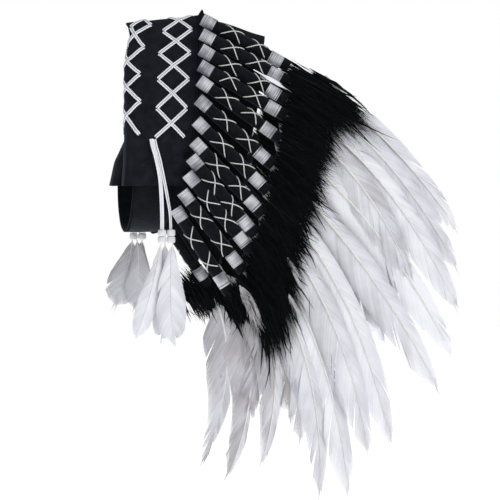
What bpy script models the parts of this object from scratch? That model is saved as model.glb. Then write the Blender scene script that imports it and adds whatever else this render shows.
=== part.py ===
# Feathered headdress: laced felt band, rolled sleeves, black fluff, long white plumes and temple drops.
# Metres, +Z up. The band hangs by its front, so its length runs down Z and its width runs along X.
import math

import bmesh
import bpy
from mathutils import Vector

# Sizes shared by neighbouring pieces
GAP = 0.0003
LOOP_HALF_HEIGHT = 0.118
LOOP_WIDTH = 0.087
LOOP_PINCH = 0.3
WALK_STEPS = 360
SURFACE_TURN = 0.01
SURFACE_STEP = 0.02

# Felt band round the head
FELT = 0.003
BAND_HALF_LENGTH = 0.197
BAND_LOWER_X = -0.026
BAND_LOWER_DROP = 0.018
BAND_UPPER_X = 0.0555
BAND_UPPER_DROP = 0.053
BAND_UPPER_POWER = 1.6
# The front fold isn't level: its upper edge is higher than its lower one, about this share of the felt
FOLD_SLANT = 0.0095
FOLD_SLANT_LEVEL = 0.35
# The far side's lower edge lies further back than the near one: share of half a turn, share of the tuck
FAR_TUCK = 0.0195
FAR_TUCK_SHARES = ((0.0, 0.0), (0.17, 0.31), (0.33, 0.69), (0.47, 1.0), (0.53, 0.8), (0.6, 0.26),
                   (0.68, 0.0), (1.0, 0.0))
BAND_STEPS = 37
# Across the felt, from its lower edge, which curls inward: share of the felt's width,
# share of the width that shows from the side, and share of the loop's width
BAND_SECTION = ((0.0, 0.12, 0.50), (0.1, 0.03, 0.62), (0.19, 0.0, 0.77), (0.27, 0.03, 0.90),
                (0.38, 0.15, 0.98), (0.55, 0.42, 1.0), (1.0, 1.0, 1.0))
BAND_FELT_WIDTH = 0.105
CURL_FULL_DEG = 55

# Strap behind the head, tucked inside the band's ends
STRAP_FELT = 0.002
STRAP_SEAT = 0.0008
STRAP_TUCK = 0.022
STRAP_WIDTH = 0.044
STRAP_LOWER_X = -0.028
STRAP_STEPS = 20
STRAP_ROWS = 3

# Sheet that carries the sleeves
BACKING_FELT = 0.002
BACKING_LENGTH = 0.076
BACKING_BESIDE_SLEEVES = 0.004
BACKING_SEAT = 0.0015
BACKING_STEPS = 30
BACKING_CROWDING = 1.4
BACKING_FRONT_LEAN_DEG = 17

# Rolled sleeves with two thread collars each
SLEEVE_RADIUS = 0.0066
SLEEVE_LENGTH = 0.110
SLEEVE_SEAT = 0.0005
SLEEVE_FIRST = 0.0132
SLEEVES_PAST_BAND = 0.0224
SLEEVE_SIDES = 8
COLLAR_THICKNESS = 0.0005
COLLAR_LENGTH = 0.0150
COLLAR_FIRST = 0.0015
COLLAR_SECOND = 0.0855
# Where each sleeve lies between a side's first and last, and how far each side's lean below level
SLEEVE_SHARES = (0.0, 0.082, 0.167, 0.254, 0.337, 0.437, 0.553, 0.66, 0.74, 0.822, 0.911, 1.0)
LEAN_DEG = {
    -1: (29, 29, 31, 31, 36, 42, 45, 47, 51, 51, 53, 58),
    1: (30, 31, 33, 34, 36, 38, 40, 42, 44, 47, 51, 56),
}
SPLAY_FIRST_DEG = 9
SPLAY_LAST_DEG = 6

# Long white plumes
PLUME_LENGTH = 0.300
PLUME_HALF_WIDTH = 0.020
PLUME_THICKNESS = 0.0022
PLUME_CROWN = 0.002
PLUME_ROOT = 0.014
PLUME_SPLAY_DEG = 7
PLUME_BEND = 0.45
QUILL_RADIUS = 0.0022
QUILL_MOST_WIDTH = 0.4
STRIP_SPACE = 0.45
TANGENT_STEP = 0.01
NEAREST_STEPS = 40
PLUME_SHARES = {
    -1: (0.85, 0.91, 0.97, 0.74, 1.0, 1.0, 1.0, 0.92, 0.98, 0.89, 0.68, 0.64),
    1: (0.78, 0.86, 0.92, 0.80, 0.95, 0.90, 0.96, 0.88, 0.90, 0.86, 0.78, 0.69),
}
PLUME_SWEEP_DEG = {
    -1: (44, 48, 51, 53, 52, 54, 65, 67, 71, 75, 86, 92),
    1: (45, 47, 50, 53, 56, 59, 62, 66, 71, 78, 85, 90),
}
# Along a plume: share of its length, share of its half width; its edges are free from the notch row on
PLUME_ROWS = ((0.0, 0.55), (0.2, 0.9), (0.42, 1.0), (0.64, 0.95), (0.84, 0.68), (1.0, 0.14))
PLUME_NOTCH_ROW = 2

# Black fluff over the plumes' roots
FLUFF_LENGTH = 0.135
FLUFF_HALF_WIDTH = 0.018
FLUFF_THICKNESS = 0.011
FLUFF_CLEARANCE = {-1: 0.0045, 1: 0.0046}
FLUFF_SHARES = (0.88, 0.76, 0.62, 0.54, 0.52, 0.60, 0.58, 0.57, 0.64, 0.74, 0.87, 0.40)
FLUFF_ROWS = ((0.0, 0.9), (0.35, 1.0), (0.68, 0.8), (1.0, 0.12))
FLUFF_NOTCH_ROW = 1

# Flat lace in two columns of diamonds
LACE_WIDTH = 0.004
LACE_THICKNESS = 0.0008
LACE_FOLD_STEPS = 4
CROSSING_REACH = 0.7
# Distance of each column from the band's upper edge, the cuts that bend its runs with the felt,
# its height above the felt, which is more near the curl, and the width of its diamonds.
# Then, as shares of the band's half length: a side's crossings, and the tips that end the column
LACING = {
    "lacing_upper": (0.027, 1, 0.0010, 0.036, (0.04, 0.174, 0.319, 0.483, 0.656), 0.735),
    "lacing_lower": (0.078, 2, 0.0017, 0.034, (0.0, 0.115, 0.289, 0.445, 0.614), 0.722),
}

# Temple drops
CORD_RADIUS = 0.0015
BEAD_RADIUS = 0.0046
BEAD_HEIGHT = 0.0070
BEAD_BORE = 0.0021
BEAD_RIM = 0.78
BEAD_BELLY = 0.45
BEAD_TOP_Z = -0.110
BEAD_SIDES = 8
# How far the far drop lies from the near one's place along X, at its laces' tops and below
DROP_FAR_TOP_SHIFT = 0.006
DROP_FAR_SHIFT = -0.010
# Route of each lace from the temple down: X, outward Y and Z
CORD_ROUTES = {
    "A": ((-0.0081, 0.0612, -0.013), (-0.0070, 0.0636, -0.021), (-0.0038, 0.0660, -0.034),
          (0.0004, 0.0660, -0.055), (0.0020, 0.0660, -0.075), (0.0026, 0.0660, -0.095),
          (0.0026, 0.0660, -0.1225)),
    "B": ((-0.0045, 0.0612, -0.013), (-0.0033, 0.0636, -0.021), (0.0000, 0.0660, -0.034),
          (0.0045, 0.0660, -0.055), (0.0085, 0.0660, -0.075), (0.0117, 0.0660, -0.095),
          (0.0124, 0.0660, -0.1225)),
}
CORD_POINT_STEP = 0.011
DROP_FEATHER_THICKNESS = 0.0014
DROP_FEATHER_TOP_Z = -0.1248
DROP_FEATHER_CROWN = 0.2
DROP_FAR_LENGTH_SHARE = 0.72
# Root X, outward Y, length, half width, lean of the tip to the left in degrees
DROP_FEATHERS = ((0.0012, 0.0668, 0.104, 0.0125, 15), (0.0060, 0.0628, 0.106, 0.0110, 2),
                 (0.0132, 0.0708, 0.108, 0.0115, -1))
DROP_ROWS = ((0.0, 0.1), (0.15, 0.5), (0.4, 1.0), (0.65, 0.95), (0.85, 0.6), (1.0, 0.1))

SIDES = {"L": -1, "R": 1}


def clear_scene():
    for obj in list(bpy.data.objects):
        bpy.data.objects.remove(obj, do_unlink=True)


def make_material(name, colour, roughness, metallic=0.0):
    material = bpy.data.materials.new(name)
    material.use_nodes = True
    shader = material.node_tree.nodes["Principled BSDF"]
    shader.inputs["Base Color"].default_value = (*colour, 1.0)
    shader.inputs["Roughness"].default_value = roughness
    shader.inputs["Metallic"].default_value = metallic
    return material


def add_object(name, bm, material):
    mesh = bpy.data.meshes.new(name)
    bm.to_mesh(mesh)
    bm.free()
    mesh.materials.append(material)
    mesh.shade_smooth()
    mesh.set_sharp_from_angle(angle=math.radians(40))
    obj = bpy.data.objects.new(name, mesh)
    parts.objects.link(obj)
    return obj


def loop_point(angle):
    """The loop that the felt follows: angle 0 is the front fold, and negative angles are the left side."""
    bulge = LOOP_PINCH + (1 - LOOP_PINCH) * math.sin(angle / 2) ** 2
    return Vector((0, LOOP_WIDTH * math.sin(angle) * bulge, LOOP_HALF_HEIGHT * math.cos(angle)))


def walk(distance):
    """The loop's angle at this distance along it from the front fold."""
    gone, previous = 0.0, loop_point(0.0)
    for k in range(1, WALK_STEPS + 1):
        point = loop_point(math.pi * k / WALK_STEPS)
        step = (point - previous).length
        if gone + step >= abs(distance):
            share = (k - 1 + (abs(distance) - gone) / step) / WALK_STEPS
            return math.copysign(math.pi * share, distance)
        gone, previous = gone + step, point
    return math.copysign(math.pi, distance)


def loop_normal(angle):
    along = loop_point(angle + SURFACE_TURN) - loop_point(angle - SURFACE_TURN)
    return Vector((0, -along.z, along.y)).normalized()


def upper_x(angle):
    return BAND_UPPER_X - BAND_UPPER_DROP * (abs(angle) / math.pi) ** BAND_UPPER_POWER


def read_table(table, place):
    """The value between a table's rows, each a place and the value there."""
    for (p0, value0), (p1, value1) in zip(table, table[1:]):
        if place <= p1:
            break
    return value0 + (value1 - value0) * min(1.0, (place - p0) / (p1 - p0))


def lower_x(angle):
    half_turns = abs(angle) / math.pi
    tuck = FAR_TUCK * read_table(FAR_TUCK_SHARES, half_turns) if angle > 0 else 0.0
    return BAND_LOWER_X - BAND_LOWER_DROP * half_turns + tuck


def section_at(share):
    """The side share and the loop share at this share of the felt's width."""
    for (v0, x0, y0), (v1, x1, y1) in zip(BAND_SECTION, BAND_SECTION[1:]):
        if share <= v1 or v1 == 1.0:
            part = (share - v0) / (v1 - v0)
            return x0 + (x1 - x0) * part, y0 + (y1 - y0) * part


def felt_share(side_share):
    """The share of the felt's width at this side share, above the curl."""
    for (v0, x0, _), (v1, x1, _) in zip(BAND_SECTION[2:], BAND_SECTION[3:]):
        if side_share <= x1 or v1 == 1.0:
            return v0 + (v1 - v0) * (side_share - x0) / (x1 - x0)


def band_surface(angle, share):
    point = loop_point(angle)
    side_share, loop_share = section_at(share)
    curl = min(1.0, abs(angle) / math.radians(CURL_FULL_DEG))
    x_share = share + (side_share - share) * curl
    x = lower_x(angle) + (upper_x(angle) - lower_x(angle)) * x_share
    slant = FOLD_SLANT * (share - FOLD_SLANT_LEVEL) * max(0.0, math.cos(angle)) ** 2
    return Vector((x, point.y * (1 - (1 - loop_share) * curl), point.z + slant))


def band_point(angle, share, lift=0.0):
    """A point of the band's outer side, or lift above it."""
    point = band_surface(angle, share)
    if not lift:
        return point
    along = band_surface(angle + SURFACE_TURN, share) - band_surface(angle - SURFACE_TURN, share)
    across = band_surface(angle, share + SURFACE_STEP) - band_surface(angle, share - SURFACE_STEP)
    return point + across.cross(along).normalized() * lift


def add_walled(name, bm, material, thickness, offset):
    """The sheet as an object whose wall is made by Solidify."""
    bmesh.ops.recalc_face_normals(bm, faces=bm.faces)
    obj = add_object(name, bm, material)
    wall = obj.modifiers.new("Wall", "SOLIDIFY")
    wall.thickness = thickness
    wall.offset = offset
    return obj


def grid_sheet(name, material, columns, rows, place, thickness, offset=-1.0):
    """A grid of columns by rows, laid out by place(column share, row index) and given its thickness."""
    bm = bmesh.new()
    bmesh.ops.create_grid(bm, x_segments=columns, y_segments=rows, size=0.5)
    for vert in bm.verts:
        vert.co = place(vert.co.x + 0.5, round((vert.co.y + 0.5) * rows))
    return add_walled(name, bm, material, thickness, offset)


def turn_outward(obj, centre):
    """Turns the sheet's faces away from centre, so that its wall goes inward."""
    mesh = obj.data
    total = sum((face.center - centre).dot(face.normal) * face.area for face in mesh.polygons)
    if total < 0:
        mesh.flip_normals()


def make_headband():
    end = walk(BAND_HALF_LENGTH)

    def place(share, row):
        return band_point(end * (2 * share - 1), BAND_SECTION[row][0])

    obj = grid_sheet("headband", felt, BAND_STEPS, len(BAND_SECTION) - 1, place, FELT)
    turn_outward(obj, Vector((0, 0, 0)))


def make_rear_strap():
    """The strap follows the loop behind the head, just inside the band's wall all the way."""
    start = walk(BAND_HALF_LENGTH - STRAP_TUCK)

    def place(share, row):
        angle = start + 2 * (math.pi - start) * share
        folded = math.remainder(angle, 2 * math.pi)
        x = STRAP_LOWER_X + STRAP_WIDTH * row / STRAP_ROWS
        across = felt_share((x - lower_x(folded)) / (upper_x(folded) - lower_x(folded)))
        return band_point(folded, across, -FELT - STRAP_SEAT)

    obj = grid_sheet("rear_strap", strap_felt, STRAP_STEPS, STRAP_ROWS, place, STRAP_FELT)
    turn_outward(obj, Vector((0, 0, -LOOP_HALF_HEIGHT / 2)))


def lean_and_splay(side, share):
    lean = read_table(list(zip(SLEEVE_SHARES, LEAN_DEG[side])), share)
    splay = SPLAY_FIRST_DEG + (SPLAY_LAST_DEG - SPLAY_FIRST_DEG) * share
    return math.radians(lean), math.radians(splay)


def direction(side, lean, splay):
    level = math.cos(splay)
    return Vector((math.cos(lean) * level, side * math.sin(splay), -math.sin(lean) * level))


def sleeve_row():
    """The length of a side's row of sleeves, from the first one's axis to the last one's."""
    return BAND_HALF_LENGTH + SLEEVES_PAST_BAND - SLEEVE_FIRST


def sleeve_distances():
    return [SLEEVE_FIRST + sleeve_row() * share for share in SLEEVE_SHARES]


def row_share(distance):
    """How far a place on the loop lies between the first sleeve and the last, from 0 to 1."""
    return min(1.0, max(0.0, (abs(distance) - SLEEVE_FIRST) / sleeve_row()))


def backing_edge(distance):
    return band_surface(walk(distance), 1.0)


def sleeve_axis(side, distance):
    """Start point and direction of the sleeve at this distance along the loop, seated on the backing."""
    lean, splay = lean_and_splay(side, row_share(distance))
    heading = direction(side, lean, splay)
    here = side * distance
    along = backing_edge(here + FELT) - backing_edge(here - FELT)
    seat = along.cross(heading).normalized() * side
    if seat.dot(loop_normal(walk(here))) < 0:
        seat.negate()
    return backing_edge(here) + seat * (SLEEVE_RADIUS + COLLAR_THICKNESS + SLEEVE_SEAT), heading


def make_crown_backing():
    half_length = sleeve_distances()[-1] + BACKING_BESIDE_SLEEVES

    def place(share, row):
        turn = 2 * share - 1
        distance = half_length * math.copysign(abs(turn) ** BACKING_CROWDING, turn)
        side = -1 if distance < 0 else 1
        lean, splay = lean_and_splay(side, row_share(distance))
        beside_fold = min(1.0, abs(distance) / SLEEVE_FIRST)
        splay *= beside_fold
        lean += (math.radians(BACKING_FRONT_LEAN_DEG) - lean) * (1 - beside_fold)
        seat = Vector((BACKING_SEAT, 0, 0))
        return backing_edge(distance) + seat + direction(side, lean, splay) * BACKING_LENGTH * row

    obj = grid_sheet("crown_backing", strap_felt, BACKING_STEPS, 1, place, BACKING_FELT)
    turn_outward(obj, Vector((BAND_UPPER_X, 0, 0)))


def make_sleeve(name, side, distance):
    """A turned tube with two collars, its axis along the sleeve."""
    start, heading = sleeve_axis(side, distance)
    tube, collar = SLEEVE_RADIUS, SLEEVE_RADIUS + COLLAR_THICKNESS
    profile = [(0, SLEEVE_LENGTH), (tube, SLEEVE_LENGTH)]
    for low in (COLLAR_SECOND, COLLAR_FIRST):
        high = low + COLLAR_LENGTH
        profile += [(tube, high), (collar, high), (collar, low), (tube, low)]
    profile += [(tube, 0), (0, 0)]
    bm = bmesh.new()
    points = [bm.verts.new((radius, 0, height)) for radius, height in profile]
    for a, b in zip(points, points[1:]):
        bm.edges.new((a, b))
    obj = add_object(name, bm, sleeve_felt)
    turn = obj.modifiers.new("Turn", "SCREW")
    turn.steps = turn.render_steps = SLEEVE_SIDES
    turn.use_merge_vertices = True
    turn.merge_threshold = 0.00001
    obj.location = start
    obj.rotation_euler = heading.to_track_quat("Z", "Y").to_euler()


def plume_line(side, index, distance):
    """The curve of a plume from its sleeve's end to its tip, as a function of a share from 0 to 1."""
    start, heading = sleeve_axis(side, distance)
    length = PLUME_LENGTH * PLUME_SHARES[side][index]
    root = start + heading * (SLEEVE_LENGTH + GAP)
    sweep = math.radians(PLUME_SWEEP_DEG[side][index])
    tip = root + direction(side, sweep, math.radians(PLUME_SPLAY_DEG)) * length
    middle = root + heading * length * PLUME_BEND

    def at(share):
        return root * (1 - share) ** 2 + middle * 2 * share * (1 - share) + tip * share ** 2

    return at, length


def line_frame(at, share, side):
    """A point of a curve, the direction down across it there and the direction outward."""
    point = at(share)
    heading = (at(min(1.0, share + TANGENT_STEP)) - at(max(0.0, share - TANGENT_STEP))).normalized()
    outward = Vector((0, side, 0))
    outward = (outward - heading * outward.dot(heading)).normalized()
    return point, outward.cross(heading) * side, outward


def nearest(at, point):
    return min((at(k / NEAREST_STEPS) - point).length for k in range(NEAREST_STEPS + 1))


def fan_sheet(side, lines, rows, notch_row, half_width, crown, lift):
    """Strips side by side in one sheet: joined up to the notch row, and free from there to their tips.

    lines holds each strip's curve, the curve's length and how far along it the strip reaches.
    """
    count, last_row = len(lines), len(rows) - 1
    bm = bmesh.new()
    bmesh.ops.create_grid(bm, x_segments=3 * count, y_segments=last_row, size=0.5)
    for vert in bm.verts:
        vert.co = (round((vert.co.x + 0.5) * 3 * count), round((vert.co.y + 0.5) * last_row), 0)
    seams = [
        edge for edge in bm.edges
        if edge.verts[0].co.x == edge.verts[1].co.x
        and edge.verts[0].co.x % 3 == 0
        and 0 < edge.verts[0].co.x < 3 * count
        and min(vert.co.y for vert in edge.verts) >= notch_row
    ]
    bmesh.ops.split_edges(bm, edges=seams)
    places, tabs = {}, {}
    for vert in bm.verts:
        column, row = round(vert.co.x), round(vert.co.y)
        strips = sorted({int(face.calc_center_median().x // 3) for face in vert.link_faces})
        spots = []
        for strip in strips:
            at, length, reach = lines[strip]
            share = (PLUME_ROOT + (reach - PLUME_ROOT) * rows[row][0]) / length
            point, down, outward = line_frame(at, share, side)
            point += outward * lift(row)
            width = half_width * rows[row][1]
            if column % 3:
                width = min(QUILL_RADIUS, width * QUILL_MOST_WIDTH)
                point += outward * crown + down * width * (-1 if column % 3 == 1 else 1)
            elif len(strips) == 1:
                step = -1 if column == 3 * strip else 1
                if 0 <= strip + step < count:
                    width = min(width, STRIP_SPACE * nearest(lines[strip + step][0], at(share)))
                point += down * step * width
            spots.append(point)
        places[vert] = sum(spots, Vector()) / len(spots)
        if row == 0 and column % 3:
            tabs.setdefault(column // 3, []).append(vert)
    for vert, place in places.items():
        vert.co = place
    return bm, tabs


def make_plumes(name, side):
    curves = [plume_line(side, index, distance) for index, distance in enumerate(sleeve_distances())]
    lines = [(at, length, length) for at, length in curves]
    bm, tabs = fan_sheet(side, lines, PLUME_ROWS, PLUME_NOTCH_ROW, PLUME_HALF_WIDTH, PLUME_CROWN,
                         lambda row: 0.0)
    for strip, verts in tabs.items():
        edge = bm.edges.get(verts)
        made = bmesh.ops.extrude_edge_only(bm, edges=[edge])["geom"]
        ends = [item for item in made if isinstance(item, bmesh.types.BMVert)]
        point, down, _ = line_frame(lines[strip][0], 0.0, side)
        middle = (ends[0].co + ends[1].co) / 2
        for vert in ends:
            vert.co = point + down * math.copysign(QUILL_RADIUS, (vert.co - middle).dot(down))
    add_walled(name, bm, plume_white, PLUME_THICKNESS, 0.0)


def make_fluff(name, side):
    """Locks that lie over the plumes' roots. Their backing thins toward the tips."""
    curves = [plume_line(side, index, distance) for index, distance in enumerate(sleeve_distances())]
    lines = [(*curve, FLUFF_LENGTH * share) for curve, share in zip(curves, FLUFF_SHARES)]
    over_plumes = PLUME_CROWN + PLUME_THICKNESS / 2 + FLUFF_CLEARANCE[side]
    bm, _ = fan_sheet(side, lines, FLUFF_ROWS, FLUFF_NOTCH_ROW, FLUFF_HALF_WIDTH, 0.0,
                      lambda row: over_plumes + FLUFF_THICKNESS / 2)
    add_walled(name, bm, fluff_black, FLUFF_THICKNESS, 0.0)


def make_lacing(name, from_upper_edge, side_cuts, lift, diamond, side_crossings, end_share):
    """A net of flat lace in one sheet that follows the band: crossings, and tips between them."""
    width = BAND_FELT_WIDTH
    centre = 1 - from_upper_edge / width
    half_lace = LACE_WIDTH * CROSSING_REACH
    both_sides = {step * share for share in side_crossings for step in (1, -1)}
    crossings = [BAND_HALF_LENGTH * share for share in sorted(both_sides)]
    end = BAND_HALF_LENGTH * end_share
    between = [(before + after) / 2 for before, after in zip(crossings, crossings[1:])]
    bm = bmesh.new()

    def vert(distance, across):
        return bm.verts.new((distance, centre + across / width, 0))

    def tip(middle):
        return [(vert(middle, step * (diamond / 2 - half_lace)), vert(middle, step * diamond / 2))
                for step in (1, -1)]

    tips = [tip(middle) for middle in (-end, *between, end)]
    for middle, before, after in zip(crossings, tips, tips[1:]):
        first, last = vert(middle - half_lace, 0), vert(middle + half_lace, 0)
        right, left = vert(middle, half_lace), vert(middle, -half_lace)
        bm.faces.new((first, right, last, left))
        for corner, ends in ((first, before), (last, after)):
            for beside, (inner, outer) in zip((right, left), ends):
                bm.faces.new((corner, inner, outer, beside))
    runs = [edge for edge in bm.edges if abs(edge.verts[0].co.x - edge.verts[1].co.x) > LACE_WIDTH]
    over_fold = [edge for edge in runs if min(abs(point.co.x) for point in edge.verts) < LACE_WIDTH]
    on_sides = [edge for edge in runs if edge not in over_fold]
    bmesh.ops.subdivide_edges(bm, edges=over_fold, cuts=LACE_FOLD_STEPS)
    bmesh.ops.subdivide_edges(bm, edges=on_sides, cuts=side_cuts)
    for point in bm.verts:
        point.co = band_point(walk(point.co.x), point.co.y, lift)
    obj = add_walled(name, bm, lace_white, LACE_THICKNESS, 1.0)
    turn_outward(obj, Vector((0, 0, 0)))


def make_cord(name, side, route):
    """A plain tube on a smooth curve through the route's points."""
    top, low = (DROP_FAR_TOP_SHIFT, DROP_FAR_SHIFT) if side > 0 else (0.0, 0.0)
    chosen = CORD_ROUTES[route]
    points = []
    for number, (x, y, z) in enumerate(chosen):
        shift = top + (low - top) * min(1.0, number / (len(chosen) - 2))
        points.append(Vector((x + shift, side * y, z)))
    line = smooth_line(points, CORD_POINT_STEP)
    curve = bpy.data.curves.new(name, "CURVE")
    curve.dimensions = "3D"
    curve.bevel_depth = CORD_RADIUS
    curve.bevel_resolution = 2
    curve.use_fill_caps = True
    spline = curve.splines.new("POLY")
    spline.points.add(len(line) - 1)
    for target, point in zip(spline.points, line):
        target.co = (*point, 1.0)
    curve.materials.append(lace_white)
    obj = bpy.data.objects.new(name, curve)
    parts.objects.link(obj)
    return line[-1]


def smooth_line(points, step):
    """Points a step apart on a Catmull-Rom curve through the given ones."""
    ends = [points[0] * 2 - points[1], *points, points[-1] * 2 - points[-2]]
    line = []
    for a, b, c, d in zip(ends, ends[1:], ends[2:], ends[3:]):
        count = max(1, round((c - b).length / step))
        for k in range(count):
            t = k / count
            line.append(0.5 * (2 * b + (c - a) * t + (2 * a - 5 * b + 4 * c - d) * t ** 2
                               + (3 * b - a - 3 * c + d) * t ** 3))
    return [*line, points[-1]]


def make_bead(name, place):
    """A turned barrel with a bore that the lace goes through."""
    half, bulge = BEAD_HEIGHT / 2, BEAD_RADIUS
    rim, belly = bulge * BEAD_RIM, half * BEAD_BELLY
    profile = [(BEAD_BORE, -half), (BEAD_BORE, half), (rim, half), (bulge, belly), (bulge, -belly),
               (rim, -half)]
    bm = bmesh.new()
    points = [bm.verts.new((radius, 0, height)) for radius, height in profile]
    for a, b in zip(points, points[1:] + points[:1]):
        bm.edges.new((a, b))
    obj = add_object(name, bm, bead_white)
    turn = obj.modifiers.new("Turn", "SCREW")
    turn.steps = turn.render_steps = BEAD_SIDES
    turn.use_merge_vertices = True
    turn.merge_threshold = 0.00001
    obj.location = place


def make_drop_feather(name, side, root_x, root_y, length, half_width, lean_deg):
    """A small leaf-shaped feather that hangs from the beads, as a crowned sheet with a wall."""
    shift = DROP_FAR_SHIFT if side > 0 else 0.0
    length *= DROP_FAR_LENGTH_SHARE if side > 0 else 1.0
    lean = math.radians(lean_deg)
    heading = Vector((-math.sin(lean), 0, -math.cos(lean)))
    beside = Vector((math.cos(lean), 0, -math.sin(lean)))
    root = Vector((root_x + shift, side * root_y, DROP_FEATHER_TOP_Z))

    def place(share, row):
        along, width = DROP_ROWS[row]
        across = (share - 0.5) * 2
        crown = Vector((0, side, 0)) * half_width * DROP_FEATHER_CROWN * width * (1 - abs(across))
        return root + heading * length * along + beside * half_width * width * across + crown

    grid_sheet(name, plume_white, 2, len(DROP_ROWS) - 1, place, DROP_FEATHER_THICKNESS, 0.0)


clear_scene()
parts = bpy.data.collections.new("feathered_headdress")
bpy.context.scene.collection.children.link(parts)

felt = make_material("black_felt", (0.012, 0.014, 0.018), 0.95)
strap_felt = make_material("thin_black_felt", (0.010, 0.011, 0.014), 0.95)
sleeve_felt = make_material("rolled_felt", (0.016, 0.018, 0.022), 0.95)
lace_white = make_material("white_lace", (0.80, 0.80, 0.84), 0.7)
bead_white = make_material("white_bead", (0.82, 0.82, 0.82), 0.25)
plume_white = make_material("white_feather", (0.80, 0.79, 0.83), 0.6)
fluff_black = make_material("black_fluff", (0.005, 0.006, 0.008), 0.8)

make_headband()
make_rear_strap()
make_crown_backing()
for name, column in LACING.items():
    make_lacing(name, *column)
for letter, side in SIDES.items():
    for index, distance in enumerate(sleeve_distances()):
        make_sleeve(f"sleeve_{letter}{index + 1:02d}", side, distance)
    word = "left" if side < 0 else "right"
    make_plumes(f"plumes_{word}", side)
    make_fluff(f"fluff_{word}", side)
    for route in CORD_ROUTES:
        end = make_cord(f"lace_{letter}{route}", side, route)
        for number in (1, 2):
            z = BEAD_TOP_Z - BEAD_HEIGHT / 2 - (number - 1) * (BEAD_HEIGHT + GAP)
            make_bead(f"bead_{letter}{route}{number}", Vector((end.x, end.y, z)))
    for number, feather in enumerate(DROP_FEATHERS):
        make_drop_feather(f"drop_feather_{letter}{number + 1}", side, *feather)
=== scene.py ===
# %% [markdown]
# # Feathered headdress
# A felt band with two columns of flat white lace holds a fan of rolled felt sleeves. Each sleeve is
# bound twice with white thread, crossed with stitches and holds a long white feather whose root
# is wrapped in black fluff. White laces with beads and small feathers hang at the temples. This
# lesson dresses the plain model of that object, piece by piece, in the frame that the model gives.

import math

import bmesh
import bpy
import numpy as np
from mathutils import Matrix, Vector, noise


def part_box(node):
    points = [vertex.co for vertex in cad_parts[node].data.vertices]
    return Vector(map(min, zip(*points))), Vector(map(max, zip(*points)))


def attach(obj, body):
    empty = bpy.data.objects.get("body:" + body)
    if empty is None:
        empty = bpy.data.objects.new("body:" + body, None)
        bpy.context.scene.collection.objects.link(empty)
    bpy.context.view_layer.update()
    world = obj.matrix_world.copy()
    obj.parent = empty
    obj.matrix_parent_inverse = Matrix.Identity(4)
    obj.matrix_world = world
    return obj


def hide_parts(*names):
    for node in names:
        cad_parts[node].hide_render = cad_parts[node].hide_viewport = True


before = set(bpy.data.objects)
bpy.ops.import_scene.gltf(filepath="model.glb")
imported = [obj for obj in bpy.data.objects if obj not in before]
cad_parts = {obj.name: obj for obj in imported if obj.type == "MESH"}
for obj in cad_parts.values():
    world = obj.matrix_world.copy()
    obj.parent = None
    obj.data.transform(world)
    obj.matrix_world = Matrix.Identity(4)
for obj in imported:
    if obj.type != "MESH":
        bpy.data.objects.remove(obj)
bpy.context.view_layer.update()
print("frame nodes:", len(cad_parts))

# %% [markdown]
# ## Camera
# The photo looks at the left side, turned a little to the front and almost level. A long lens far
# away keeps the two feather rows nearly the same size, as a product photo does. The frame is square,
# so the lens follows from the width that it has to show at the middle of the headdress.

# %% Camera at the photo's angle
VIEW_AZIMUTH = math.radians(-12)
VIEW_ELEVATION = math.radians(2)
VIEW_DISTANCE = 2.4
VIEW_WIDTH = 0.55
VIEW_TARGET = Vector((0.108, -0.023, -0.134))

camera_data = bpy.data.cameras.new("camera")
camera_data.lens = camera_data.sensor_width * VIEW_DISTANCE / VIEW_WIDTH
camera = bpy.data.objects.new("camera", camera_data)
bpy.context.scene.collection.objects.link(camera)
bpy.context.scene.camera = camera
toward_camera = Vector((
    math.sin(VIEW_AZIMUTH) * math.cos(VIEW_ELEVATION),
    -math.cos(VIEW_AZIMUTH) * math.cos(VIEW_ELEVATION),
    math.sin(VIEW_ELEVATION),
))
camera.location = VIEW_TARGET + toward_camera * VIEW_DISTANCE
camera.rotation_euler = toward_camera.to_track_quat("Z", "Y").to_euler()
print("lens in mm:", round(camera_data.lens, 1))

# %% [markdown]
# ## One function for colour, one for nodes
# Colours are picked as sRGB hex values, and a shader works in linear light, so one function turns
# them. A material is then a few calls of one small function that adds a node with its settings, its
# values and its links.


# %% Colour and node helpers
def linear(hex_colour):
    """The linear colour, with alpha, of an sRGB hex value."""
    shares = [int(hex_colour[k:k + 2], 16) / 255 for k in (1, 3, 5)]
    low = [share / 12.92 for share in shares]
    high = [((share + 0.055) / 1.055) ** 2.4 for share in shares]
    return (*[a if share <= 0.04045 else b for share, a, b in zip(shares, low, high)], 1.0)


def add_node(material, kind, inputs=None, stops=None, **settings):
    """Adds a node. inputs maps a socket to a value or to an output, and stops are a ramp's colours."""
    tree = material.node_tree
    node = tree.nodes.new("ShaderNode" + kind)
    for key, value in settings.items():
        setattr(node, key, value)
    for socket, value in (inputs or {}).items():
        if isinstance(value, bpy.types.NodeSocket):
            tree.links.new(value, node.inputs[socket])
        else:
            node.inputs[socket].default_value = value
    if stops:
        ramp = node.color_ramp
        while len(ramp.elements) < len(stops):
            ramp.elements.new(0.5)
        for element, (place, colour) in zip(ramp.elements, stops):
            element.position, element.color = place, linear(colour)
    return node


def start_material(name, **values):
    """A material with a Principled shader whose constant values sit on its own sockets."""
    material = bpy.data.materials.new(name)
    material.use_nodes = True
    shader = material.node_tree.nodes["Principled BSDF"]
    for socket, value in values.items():
        shader.inputs[socket.replace("_", " ")].default_value = value
    return material, shader


def plug(material, shader, socket, output):
    material.node_tree.links.new(output, shader.inputs[socket])


def add_noise(material, scale, detail):
    """The value of a noise that is laid out in the object's own coordinates."""
    place = add_node(material, "TexCoord").outputs["Object"]
    return add_node(material, "TexNoise", {"Vector": place, "Scale": scale, "Detail": detail}).outputs["Fac"]


def colour_by(material, shader, value, *stops):
    """Colours the shader by a ramp that reads the value."""
    tone = add_node(material, "ValToRGB", {"Fac": value}, stops=stops)
    plug(material, shader, "Base Color", tone.outputs["Color"])


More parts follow.
